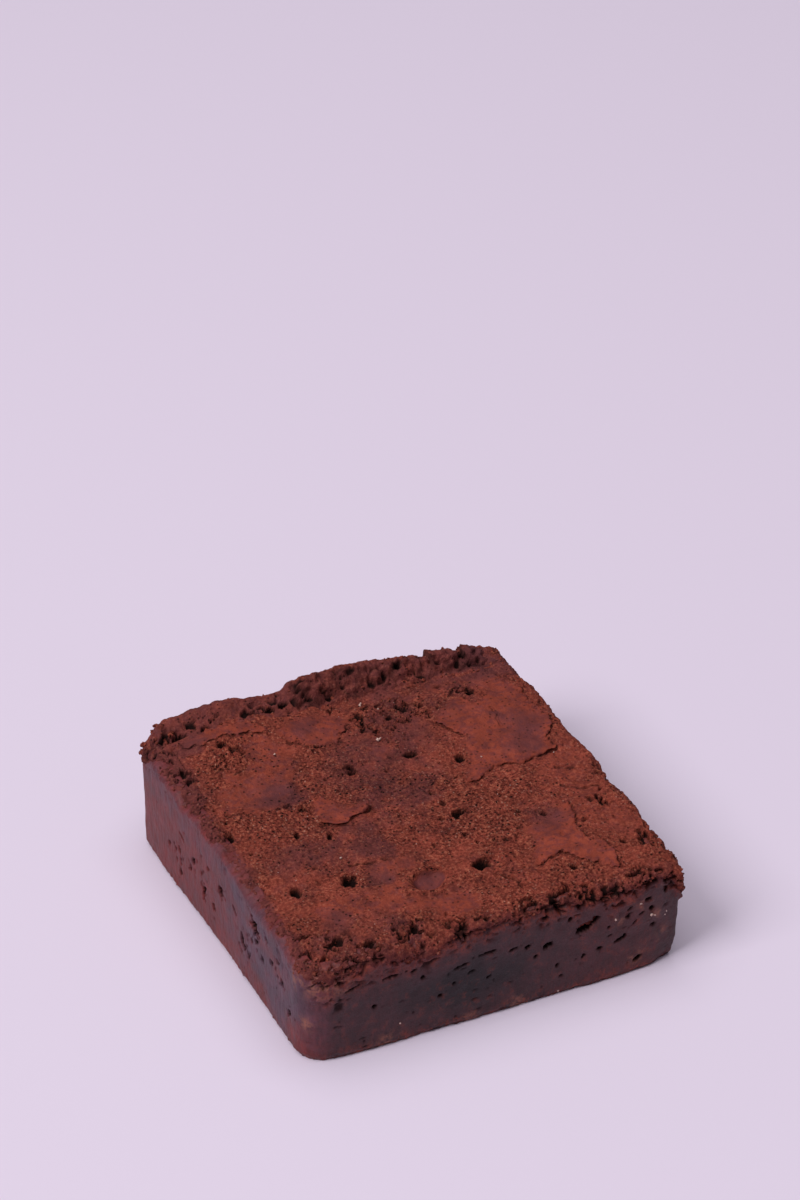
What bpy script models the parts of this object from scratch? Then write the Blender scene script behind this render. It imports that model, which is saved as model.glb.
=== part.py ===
"""A square of chocolate brownie from the edge of the tin: a flaky crust lid over a dense crumb.

The front and both sides are knife cuts. Along +Y runs the edge that baked against the tin, where
the crust stands up in a thin rim. Origin at the middle of the flat base, metres, +Z up.
"""

import bmesh
import bpy
import numpy as np
from math import radians
from mathutils import Euler, Matrix, Vector

MM = 0.001  # the lists below are in millimetres

# Size in plan, with the front and the two sides cut and the back baked against the tin.
WIDTH = 82.2 * MM
DEPTH = 84.4 * MM
CORNER_RADII = {(-1, -1): 6.4 * MM, (1, -1): 2.6 * MM, (-1, 1): 4.0 * MM, (1, 1): 3.0 * MM}
# Where the cuts wander from straight: the side as (x, y), place along it, reach, distance outwards.
WANDER = (
    ((-1, 0), 30.0, 24.0, 1.0),
    ((1, 0), -40.0, 16.0, -1.2),
    ((1, 0), 12.0, 9.0, -0.3),
    ((0, -1), -40.0, 9.0, -0.6),
    ((0, -1), 26.0, 12.0, 0.3),
    ((0, 1), 6.0, 16.0, 0.4),
)

# The crust, as heights above the base.
FRONT_HEIGHT = 23.2 * MM
BACK_RISE = 1.3 * MM  # the crust climbs this much from the front to the foot of the rim
RIM_LOW = 26.7 * MM  # rim crest away from its swells
RIM_FALL = 0.02  # the crest falls this much for each unit towards +X
RIM_CREST_INSET = 1.7 * MM  # crest to the back face
RIM_FOOT_INSET = 6.6 * MM  # foot of the rim's inner slope to the back face
RIM_SWELLS = ((4.0, 20.0, 3.3), (-26.0, 8.0, 1.6))  # x, reach, height
SHELF = (-23.0, 13.0, 2.3)  # where the crust banks up against the rim: x, reach, height
SHELF_DEPTH = 9.0 * MM
LIP_RADIUS = 2.2 * MM
LIP_OVERHANG = 0.45 * MM

# Places along the upper edges that crumbled: x, y, reach, drop.
WORN = (
    (-41.0, -42.0, 10.5, 2.6),
    (-42.0, -17.0, 7.5, 1.7),
    (-16.0, -42.5, 4.2, 2.0),
    (22.5, -42.5, 5.0, 1.7),
    (-41.5, 17.5, 3.0, 1.4),
    (-42.5, 42.5, 5.5, 5.5),
    (42.0, 42.5, 4.0, 1.2),
    (41.5, -41.5, 3.0, 1.2),
)
# Broad swells and hollows of the crust: x, y, reach, height.
SWELLS = (
    (27.0, 16.0, 13.0, 0.7),
    (-24.0, 22.0, 11.0, 0.6),
    (-8.0, -31.0, 9.0, -0.8),
    (24.0, -26.0, 10.0, 0.4),
    (7.0, 8.0, 12.0, -0.4),
    (-30.0, -19.0, 6.0, -0.6),
)
# Burst bubbles in the crust: x, y, long axis, short axis, turn in degrees, depth.
CRUST_PITS = (
    (4.5, -25.6, 5.0, 4.2, 15.0, 2.8),
    (-21.8, -20.1, 4.0, 3.6, 60.0, 2.3),
    (-32.2, -18.2, 4.6, 3.0, 80.0, 2.0),
    (7.2, -8.6, 4.0, 2.6, 10.0, 1.8),
    (7.0, 13.9, 3.6, 2.2, 5.0, 1.6),
    (-5.8, 14.3, 3.4, 2.8, 70.0, 1.8),
    (16.0, 8.8, 3.6, 3.2, 30.0, 1.8),
    (-31.2, -35.2, 4.8, 3.4, 75.0, 2.1),
    (-37.4, 2.5, 3.2, 2.6, 90.0, 1.8),
    (3.1, 28.8, 4.0, 2.4, 85.0, 1.5),
    (12.5, 29.4, 4.0, 2.2, 95.0, 1.5),
)
# Bubbles opened by the front cut: x, z, width, height, depth.
FRONT_PITS = (
    (19.3, 15.1, 5.4, 3.6, 2.2),
    (-33.5, 12.0, 2.8, 3.6, 1.7),
    (-2.6, 15.2, 4.2, 2.2, 1.5),
    (26.0, 9.4, 2.8, 2.6, 1.5),
)
# Bubbles opened by the left cut: y, z, width, height, depth.
LEFT_PITS = (
    (-18.0, 17.5, 2.8, 2.4, 1.6),
    (-11.8, 9.2, 3.6, 2.6, 1.1),
    (7.4, 8.2, 2.2, 3.4, 1.2),
)
EGG_RAISED = 0.35  # of a crust pit's depth: how far its egg's centre stands above the crust
PIT_TILT = radians(8)

TOP_CELLS = 44  # cells along each side of the crust
EDGE_CROWDING = 0.55  # how strongly the cells crowd towards the edges
WALL_LEVELS = (0.93, 0.84, 0.70, 0.52, 0.32, 0.14, 0.035, 0.0)  # of the height of the crust above
BASE_TUCK = 0.5 * MM  # the cut sides draw in at the very bottom


def bump(distance, reach):
    return np.exp(-((distance / reach) ** 2))


def clear_scene():
    for thing in list(bpy.data.objects):
        bpy.data.objects.remove(thing, do_unlink=True)


def make_collection(name):
    made = bpy.data.collections.new(name)
    bpy.context.scene.collection.children.link(made)
    return made


def crumb_material():
    material = bpy.data.materials.new("brownie crumb")
    material.use_nodes = True
    shader = material.node_tree.nodes["Principled BSDF"]
    shader.inputs["Base Color"].default_value = (0.130, 0.036, 0.026, 1.0)
    shader.inputs["Roughness"].default_value = 0.8
    shader.inputs["Metallic"].default_value = 0.0
    return material


def crowd(t):
    """Spreads -1..1 so that cells get smaller towards both ends."""
    return (1 - EDGE_CROWDING) * t + EDGE_CROWDING * np.sin(np.pi / 2 * t)


def plan_point(s, t):
    """The point of the rounded outline's interior for square coordinates s and t, each -1..1."""
    x = crowd(s) * WIDTH / 2
    y = crowd(t) * DEPTH / 2
    radius = CORNER_RADII[(1 if x > 0 else -1, 1 if y > 0 else -1)]
    across = (abs(x) - (WIDTH / 2 - radius)) / radius
    along = (abs(y) - (DEPTH / 2 - radius)) / radius
    if across > 0 and along > 0:
        shrink = max(across, along) / np.hypot(across, along)
        x = np.sign(x) * (WIDTH / 2 - radius + across * shrink * radius)
        y = np.sign(y) * (DEPTH / 2 - radius + along * shrink * radius)
    for (side_x, side_y), place, reach, out in WANDER:
        nearness = max(0.0, side_x * crowd(s) + side_y * crowd(t)) ** 3
        along = y if side_x else x
        shift = out * MM * nearness * bump(along - place * MM, reach * MM)
        x += side_x * shift
        y += side_y * shift
    return x, y


def edge_distance(x, y):
    """Distance in from the outline, near enough for rounding the upper edge."""
    radius = CORNER_RADII[(1 if x > 0 else -1, 1 if y > 0 else -1)]
    across = abs(x) - (WIDTH / 2 - radius)
    along = abs(y) - (DEPTH / 2 - radius)
    if across > 0 and along > 0:
        return radius - np.hypot(across, along)
    return min(WIDTH / 2 - abs(x), DEPTH / 2 - abs(y))


def rim_crest(x):
    height = RIM_LOW - RIM_FALL * x
    for place, reach, rise in RIM_SWELLS:
        height += rise * MM * bump(x - place * MM, reach * MM)
    return height


def crust_height(x, y):
    """Crust without its pits: a gentle slope, the rim at the back, swells, worn edges, a round lip."""
    height = FRONT_HEIGHT + BACK_RISE * (y + DEPTH / 2) / DEPTH
    place, reach, rise = SHELF
    beyond_foot = y - (DEPTH / 2 - RIM_FOOT_INSET)
    height += rise * MM * bump(x - place * MM, reach * MM) * bump(beyond_foot, SHELF_DEPTH)
    climb = beyond_foot / (RIM_FOOT_INSET - RIM_CREST_INSET)
    climb = min(max(climb, 0.0), 1.0)
    climb = climb * climb * (3 - 2 * climb)
    height += (rim_crest(x) - height) * climb
    for place_x, place_y, reach, rise in SWELLS:
        height += rise * MM * bump(np.hypot(x - place_x * MM, y - place_y * MM), reach * MM)
    for place_x, place_y, reach, drop in WORN:
        height -= drop * MM * bump(np.hypot(x - place_x * MM, y - place_y * MM), reach * MM)
    inside = min(max(edge_distance(x, y), 0.0), LIP_RADIUS)
    height -= 0.8 * (LIP_RADIUS - np.sqrt(LIP_RADIUS**2 - (LIP_RADIUS - inside) ** 2))
    return height


def wall_offset(level):
    """How far the side stands out at this share of the height: a small lip above, tucked in at the base."""
    lip = LIP_OVERHANG * bump(level - 0.80, 0.13)
    tuck = BASE_TUCK * max(0.0, 1 - level / 0.14) ** 2
    return lip - tuck


def outward(x, y):
    """Level direction away from the block at a point of its outline."""
    across = np.sign(x) * abs(2 * x / WIDTH) ** 9
    along = np.sign(y) * abs(2 * y / DEPTH) ** 9
    return Vector((across, along, 0.0)).normalized()


def build_block():
    """One closed body: the crust as a grid, its boundary carried down in rings, and a flat base."""
    mesh = bmesh.new()
    bmesh.ops.create_grid(mesh, x_segments=TOP_CELLS, y_segments=TOP_CELLS, size=1.0)
    start = mesh.verts.layers.float_vector.new("start")  # each wall point remembers the crust above it
    for vertex in mesh.verts:
        x, y = plan_point(vertex.co.x, vertex.co.y)
        vertex.co = (x, y, crust_height(x, y))
        vertex[start] = vertex.co

    ring = [edge for edge in mesh.edges if edge.is_boundary]
    for level in WALL_LEVELS:
        made = bmesh.ops.extrude_edge_only(mesh, edges=ring)["geom"]
        ring = [item for item in made if isinstance(item, bmesh.types.BMEdge) and item.is_boundary]
        for vertex in {vertex for edge in ring for vertex in edge.verts}:
            above = vertex[start].copy()
            moved = above + outward(above.x, above.y) * wall_offset(level)
            vertex.co = (moved.x, moved.y, above.z * level)
    bmesh.ops.contextual_create(mesh, geom=ring)
    bmesh.ops.recalc_face_normals(mesh, faces=mesh.faces)
    return mesh


def pit_cutter(name, place, turn, half_sizes):
    """An egg-shaped cutter with these half sizes along its own axes."""
    mesh = bmesh.new()
    bmesh.ops.create_icosphere(mesh, subdivisions=2, radius=1.0)
    shape = turn.to_matrix().to_4x4() @ Matrix.Diagonal((*half_sizes, 1.0))
    bmesh.ops.transform(mesh, matrix=shape, verts=mesh.verts)
    data = bpy.data.meshes.new(name)
    mesh.to_mesh(data)
    mesh.free()
    cutter = bpy.data.objects.new(name, data)
    cutter.location = place
    cutter.hide_render = True
    cutter.display_type = "WIRE"
    return cutter


def crust_cutters():
    """Eggs that stand partly above the crust, so that each pit has its stated size at the surface."""
    made = []
    for number, (x, y, long, short, turn, depth) in enumerate(CRUST_PITS, start=1):
        raised = EGG_RAISED * depth
        swell = 1 / np.sqrt(1 - (raised / (depth + raised)) ** 2)
        place = (x * MM, y * MM, crust_height(x * MM, y * MM) + raised * MM)
        sizes = (long / 2 * swell * MM, short / 2 * swell * MM, (depth + raised) * MM)
        made.append(pit_cutter(f"crust_pit_{number}", place, Euler((0, 0, radians(turn))), sizes))
    return made


def side_cutters():
    made = []
    for number, (x, z, width, height, depth) in enumerate(FRONT_PITS, start=1):
        sizes = (width / 2 * MM, depth * MM, height / 2 * MM)
        place = (x * MM, -DEPTH / 2, z * MM)
        made.append(pit_cutter(f"front_pit_{number}", place, Euler((0, PIT_TILT, 0)), sizes))
    for number, (y, z, width, height, depth) in enumerate(LEFT_PITS, start=1):
        sizes = (depth * MM, width / 2 * MM, height / 2 * MM)
        place = (-WIDTH / 2, y * MM, z * MM)
        made.append(pit_cutter(f"left_pit_{number}", place, Euler((PIT_TILT, 0, 0)), sizes))
    return made


def middle_of(mesh):
    """The level centre of the bounding box."""
    points = np.array([vertex.co for vertex in mesh.verts])
    middle = (points.min(axis=0) + points.max(axis=0)) / 2
    return Vector((middle[0], middle[1], 0.0))


def make_brownie(parts, cutters):
    mesh = build_block()
    middle = middle_of(mesh)
    bmesh.ops.translate(mesh, vec=-middle, verts=mesh.verts)
    data = bpy.data.meshes.new("brownie")
    mesh.to_mesh(data)
    mesh.free()
    data.materials.append(crumb_material())
    data.shade_smooth()
    data.set_sharp_from_angle(angle=radians(50))
    brownie = bpy.data.objects.new("brownie", data)
    parts.objects.link(brownie)
    for cutter in crust_cutters() + side_cutters():
        cutter.location -= middle
        cutters.objects.link(cutter)
    cut = brownie.modifiers.new("bubbles", "BOOLEAN")
    cut.operation = "DIFFERENCE"
    cut.solver = "EXACT"
    cut.operand_type = "COLLECTION"
    cut.collection = cutters
    return brownie


clear_scene()
make_brownie(make_collection("chocolate_brownie"), make_collection("cutters"))
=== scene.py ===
import itertools
from functools import partial

import bpy
import numpy as np
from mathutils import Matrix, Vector
from mathutils.geometry import delaunay_2d_cdt


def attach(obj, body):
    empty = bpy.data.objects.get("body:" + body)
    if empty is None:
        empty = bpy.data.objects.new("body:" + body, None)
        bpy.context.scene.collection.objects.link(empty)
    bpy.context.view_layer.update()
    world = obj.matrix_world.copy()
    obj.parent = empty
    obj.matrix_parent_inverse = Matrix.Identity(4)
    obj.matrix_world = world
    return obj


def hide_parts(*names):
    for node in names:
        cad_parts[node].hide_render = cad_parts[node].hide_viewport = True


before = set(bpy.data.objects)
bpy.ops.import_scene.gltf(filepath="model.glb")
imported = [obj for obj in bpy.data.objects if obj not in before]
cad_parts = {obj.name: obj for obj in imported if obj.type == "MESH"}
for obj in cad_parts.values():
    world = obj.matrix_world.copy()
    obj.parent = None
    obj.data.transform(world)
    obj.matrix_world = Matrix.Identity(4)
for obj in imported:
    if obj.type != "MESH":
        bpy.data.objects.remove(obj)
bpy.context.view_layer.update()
mm = 0.001  # every shape below is worked out in millimetres
print("frame loaded")


# Noise: whole arrays of points in, whole arrays of numbers out
def cellRandom(cell, seed):
    # Multiplies a lattice cell's whole numbers by large primes and folds the bits: 0 to 1 for each cell
    c = cell.astype(np.uint32)
    h = c[..., 0] * np.uint32(374761393) + c[..., 1] * np.uint32(668265263)
    h = h + c[..., 2] * np.uint32(1274126177) + np.uint32(seed * 97531 + 12345)
    h = (h ^ (h >> np.uint32(13))) * np.uint32(1103515245)
    h = (h ^ (h >> np.uint32(15))) * np.uint32(2246822519)
    return (h ^ (h >> np.uint32(14))) / 4294967295.0


def cellPoint(cell, seed):
    # A random point of the unit cube for each lattice cell
    return np.stack([cellRandom(cell, seed + k) for k in range(3)], -1)


def joined(*parts):
    # Points from their coordinates, each of them an array or one number for all
    return np.stack(np.broadcast_arrays(*parts), -1)


def waves(p, size, seed):
    # Gradient noise: each lattice corner has a random slope, and the eight slopes round a point are blended
    # by a quintic fade. About -1 to 1, with bumps this many millimetres apart
    q = p / size
    cell = np.floor(q)
    part = q - cell
    cell = cell.astype(np.int64)
    fade = part ** 3 * (part * (part * 6 - 15) + 10)
    total = np.zeros(p.shape[:-1])
    for corner in itertools.product((0, 1), repeat=3):
        slope = cellPoint(cell + corner, seed) * 2 - 1
        weight = np.prod(np.where(corner, fade, 1 - fade), axis=-1)
        total += weight * np.sum(slope * (part - corner), -1)
    return total * 1.7


def layers(p, size, seed, count=2, gain=0.5):
    # Sum of ever finer and weaker waves
    return sum(gain ** k * waves(p, size / 2 ** k, seed + 11 * k) for k in range(count))


def nearest(p, size, seed):
    # One random point in each lattice cell: distance to the nearest, in cells, and that one's random number
    q = p / size
    cell = np.floor(q).astype(np.int64)
    first = np.full(p.shape[:-1], 9.0)
    number = np.zeros(p.shape[:-1])
    for step in itertools.product((-1, 0, 1), repeat=3):
        at = cell + step
        away = np.linalg.norm(q - at - cellPoint(at, seed), axis=-1)
        number = np.where(away < first, cellRandom(at, seed + 5), number)
        first = np.minimum(first, away)
    return first, number


def held(value):
    # Kept between 0 and 1
    return np.clip(value, 0, 1)


def ease(low, high, value):
    # Smooth step from 0 at low to 1 at high
    t = held((value - low) / (high - low))
    return t * t * (3 - 2 * t)


def bump(distance, reach):
    # Bell curve: 1 in the middle and about 0.37 at its reach
    return np.exp(-(distance / reach) ** 2)


def patches(x, y, places):
    # Sum of round patches, each fading with the distance from its middle, held to 1
    return held(sum(bump(np.hypot(x - px, y - py), reach) for px, py, reach in places))


def bubbles(p, size, seed, share, radius):
    # Round holes: a share of the lattice's random points each empty a ball, whose depth below the surface
    # comes back in millimetres. The balls' radii run from half to the whole of the given one
    first, number = nearest(p, size, seed)
    ball = radius * (0.5 + 0.5 * (number * 7.3 % 1))
    hollow = np.sqrt(np.clip(ball ** 2 - (first * size) ** 2, 0, None))
    return np.where(number < share, hollow, 0.0)


def tornCrumb(p, size, seed):
    # Ragged hollows where waves, bent by other waves, run high, and rounded lumps all over. Gives how
    # hollow a place is, 0 to 1, and the lumps' height, about -0.5 to 0.5
    bent = p + 0.45 * size * np.stack([waves(p, 0.7 * size, seed + k) for k in range(3)], -1)
    first, _ = nearest(bent, 0.42 * size, seed + 17)
    return ease(0.08, 0.42, layers(bent, size, seed + 7, 3, 0.6)), 0.55 - first


# The block's own form
block = {
    "width": 82.2, "depth": 84.4, "middle": (-0.50, 0.05),
    "corners": {(-1, -1): 6.4, (1, -1): 2.6, (-1, 1): 4.0, (1, 1): 3.0},
    # side, place along it, reach, distance outwards
    "wander": (((-1, 0), 30.0, 24.0, 1.0), ((1, 0), -40.0, 16.0, -1.2), ((1, 0), 9.0, 5.0, -0.9),
               ((1, 0), 30.0, 3.5, -0.6), ((1, 0), 39.0, 4.5, -0.9), ((1, 0), -11.0, 5.0, -0.8),
               ((1, 0), -25.0, 3.5, -0.5),
               ((0, -1), -40.0, 9.0, -0.6), ((0, -1), 26.0, 12.0, 0.3), ((0, 1), 6.0, 16.0, 0.4)),
    "frontHeight": 23.2, "backRise": 1.3, "lipRadius": 2.2, "lipSquash": 0.8,
    "rimLow": 26.7, "rimFall": 0.02, "rimCrest": 1.7, "rimFoot": 6.6,
    "rimSwells": ((4.0, 20.0, 3.3), (-26.0, 8.0, 1.6)), "shelf": (-23.0, 13.0, 2.3, 9.0),
    # x, y, reach, height
    "swells": ((-41.0, -42.0, 10.5, -2.6), (-42.0, -17.0, 7.5, -1.7), (-16.0, -42.5, 4.2, -2.0),
               (22.5, -42.5, 5.0, -1.7), (-41.5, 17.5, 3.0, -1.4), (-42.5, 42.5, 5.5, -5.5),
               (42.0, 42.5, 4.0, -1.2), (41.5, -41.5, 3.0, -1.2), (27.0, 16.0, 13.0, 0.7),
               (-24.0, 22.0, 11.0, 0.6), (-8.0, -31.0, 9.0, -0.8), (24.0, -26.0, 10.0, 0.4),
               (7.0, 8.0, 12.0, -0.4), (-30.0, -19.0, 6.0, -0.6)),
}
lipDrop = block["lipSquash"] * block["lipRadius"]


def crustHeight(x, y):
    # Slope from front to back, a bank and a rim at the back, gentle swells and worn places, without the lip
    x = x + block["middle"][0]
    y = y + block["middle"][1]
    half = block["depth"] / 2
    height = block["frontHeight"] + block["backRise"] * (y + half) / block["depth"]
    beyondFoot = y - (half - block["rimFoot"])
    place, reach, rise, deep = block["shelf"]
    height = height + rise * bump(x - place, reach) * bump(beyondFoot, deep)
    crest = block["rimLow"] - block["rimFall"] * x
    for place, reach, rise in block["rimSwells"]:
        crest = crest + rise * bump(x - place, reach)
    height = height + (crest - height) * ease(0, block["rimFoot"] - block["rimCrest"], beyondFoot)
    for px, py, reach, rise in block["swells"]:
        height = height + rise * bump(np.hypot(x - px, y - py), reach)
    return height


def outline(count, crowd=lambda nx, ny: 1 + 0 * nx):
    # Rounded rectangle walked anticlockwise from the left end of the back: quarter circles joined by
    # straight runs, each side wandering outwards by a few bumps. crowd(normal x, y) says how closely the
    # points stand
    halfX, halfY = block["width"] / 2, block["depth"] / 2
    runs = []
    for (sx, sy), start in zip(((-1, 1), (-1, -1), (1, -1), (1, 1)), (90, 180, 270, 0)):
        r = block["corners"][(sx, sy)]
        angle = np.radians(start + np.linspace(0, 90, 25))
        nx, ny = np.cos(angle), np.sin(angle)
        runs.append(joined(sx * (halfX - r) + r * nx, sy * (halfY - r) + r * ny, nx, ny))
    ring = np.concatenate(runs + [runs[0][:1]])
    length = walked(ring)
    ring = resampled(ring, length, np.linspace(0, length[-1], 6000))
    for (sx, sy), place, reach, out in block["wander"]:
        side = np.maximum(0, ring[:, 2] * sx + ring[:, 3] * sy) ** 3
        shift = out * side * bump((ring[:, 1] if sx else ring[:, 0]) - place, reach)
        ring[:, 0] += sx * shift
        ring[:, 1] += sy * shift
    steps = crowd(ring[1:, 2], ring[1:, 3]) * np.diff(walked(ring))
    pace = np.concatenate([[0], np.cumsum(steps)])
    ring = resampled(ring, pace, np.linspace(0, pace[-1], count + 1)[:-1])
    ring[:, :2] -= block["middle"]
    ring[:, 2:] /= np.linalg.norm(ring[:, 2:], axis=1, keepdims=True)
    return ring


def walked(line):
    # Length walked along a line of points up to each of them, in plan
    return np.concatenate([[0], np.cumsum(np.hypot(*np.diff(line[:, :2], axis=0).T))])


def resampled(line, length, wanted):
    # Points of a line at the wanted lengths along it, every column blended between its neighbours
    return np.stack([np.interp(wanted, length, column) for column in line.T], -1)


def inset(x, y):
    # Distance in from the rounded rectangle, each corner with its own radius
    x = x + block["middle"][0]
    y = y + block["middle"][1]
    radius = np.select([(x < 0) & (y < 0), (x >= 0) & (y < 0), x < 0],
                       [block["corners"][side] for side in ((-1, -1), (1, -1), (-1, 1))],
                       block["corners"][(1, 1)])
    across = np.abs(x) - (block["width"] / 2 - radius)
    along = np.abs(y) - (block["depth"] / 2 - radius)
    corner = radius - np.hypot(np.maximum(across, 0), np.maximum(along, 0))
    return np.where((across > 0) & (along > 0), corner, radius - np.maximum(across, along))


def lipProfile(inward, downward, step):
    # A line that runs out along the top to the edge, over a quarter ellipse and down the side, in even
    # steps: inset, drop below the top, the normal's outward and upward parts, and the distance along it
    r = block["lipRadius"]
    angle = np.radians(np.linspace(0, 90, 40))
    insets = np.concatenate([np.linspace(inward, r, 60)[:-1], r - r * np.sin(angle), np.zeros(60)])
    wall = lipDrop + np.linspace(0, downward, 61)[1:]
    drops = np.concatenate([np.zeros(59), lipDrop * (1 - np.cos(angle)), wall])
    length = walked(joined(insets, drops))
    wanted = np.linspace(0, length[-1], int(length[-1] / step))
    insets, drops = np.interp(wanted, length, insets), np.interp(wanted, length, drops)
    slopeIn, slopeDown = np.gradient(insets), np.gradient(drops)
    size = np.hypot(slopeIn, slopeDown)
    return insets, drops, slopeDown / size, -slopeIn / size, wanted


def putMesh(name, points, faces, material, marks):
    # Points in millimetres, one array for each kind of face, and one number a point for each named mark
    mesh = bpy.data.meshes.new(name)
    allFaces = [face for group in faces for face in np.asarray(group).tolist()]
    mesh.from_pydata((points * mm).tolist(), [], allFaces)
    for mark, values in marks.items():
        attribute = mesh.attributes.new(mark, "FLOAT", "POINT")
        attribute.data.foreach_set("value", np.ravel(values).astype(np.float32))
    mesh.polygons.foreach_set("use_smooth", np.ones(len(mesh.polygons), bool))
    mesh.materials.append(material)
    mesh.update()
    piece = bpy.data.objects.new(name, mesh)
    bpy.context.scene.collection.objects.link(piece)
    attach(piece, "root")
    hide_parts("brownie")
    print(name, sum(len(face) - 2 for face in allFaces), "triangles")


def gridFaces(rows, columns, closeColumns=False):
    # Quads between neighbours of a rows by columns grid whose points are numbered row by row
    last = columns if closeColumns else columns - 1
    r, c = np.meshgrid(np.arange(rows - 1), np.arange(last), indexing="ij")
    side = (c + 1) % columns
    quads = [r * columns + c, r * columns + side, (r + 1) * columns + side, (r + 1) * columns + c]
    return np.stack(quads, -1).reshape(-1, 4)


def putClosed(name, points, material, marks, turned=False):
    # A grid of points whose columns join into rings, with a flat face over the first and over the last row
    rows, columns = points.shape[:2]
    line = np.arange(columns)
    faces = [gridFaces(rows, columns, True), line[::-1][None], ((rows - 1) * columns + line)[None]]
    if turned:
        faces = [group[:, ::-1] for group in faces]
    putMesh(name, points.reshape(-1, 3), faces, material, marks)


def paint(code):
    # sRGB hex to linear
    value = np.array([int(code[k:k + 2], 16) for k in (1, 3, 5)]) / 255
    return (*np.where(value <= 0.04045, value / 12.92, ((value + 0.055) / 1.055) ** 2.4), 1.0)


def addNode(tree, kind, settings={}, values={}, links={}, output=0):
    # Adds a shader node with its settings, fixed inputs and linked inputs, and gives one of its outputs
    node = tree.nodes.new("ShaderNode" + kind)
    for key, value in settings.items():
        setattr(node, key, value)
    for key, value in values.items():
        node.inputs[key].default_value = value
    for key, source in links.items():
        tree.links.new(source, node.inputs[key])
    return node.outputs[output]


def startMaterial(name, look, markNames=()):
    # A principled shader with its constants, what adds nodes to it, object coordinates and the mesh's marks
    material = bpy.data.materials.new(name)
    material.use_nodes = True
    shader = material.node_tree.nodes["Principled BSDF"]
    shader.inputs["Roughness"].default_value = look["roughness"]
    shader.inputs["Specular IOR Level"].default_value = look["specular"]
    shader.inputs["IOR"].default_value = 1.45
    add = partial(addNode, material.node_tree)
    place = add("TexCoord", output="Object")
    marks = [add("Attribute", {"attribute_name": mark}, output="Fac") for mark in markNames]
    return material, shader, add, place, marks


def joinShader(material, shader, sources):
    # Links what has been worked out to the shader's inputs
    for socket, source in sources.items():
        material.node_tree.links.new(source, shader.inputs[socket])


rgba = {"data_type": "RGBA"}
product = {"operation": "MULTIPLY"}
crustLook = {
    # The dark red on the next line is painted shade in the dips between the grains
    "crumb": "#883d30", "grainGapShade": "#42140f", "crumbLight": "#b4674e", "speck": "#c48d79",
    # On the next line, the near black is painted shade in pits, holes, cracks and gaps
    "skin": "#8b3d2d", "skinDark": "#703330", "violet": "#5c3033", "hollow": "#1c0806",
    "roughness": 0.85, "skinRoughness": 0.6, "specular": 0.16,
    # sizes in millimetres
    "grain": 0.6, "blotch": 4.0, "mottle": 1.5, "dust": 0.6, "pinhole": 0.8, "relief": 0.8,
}


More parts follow.
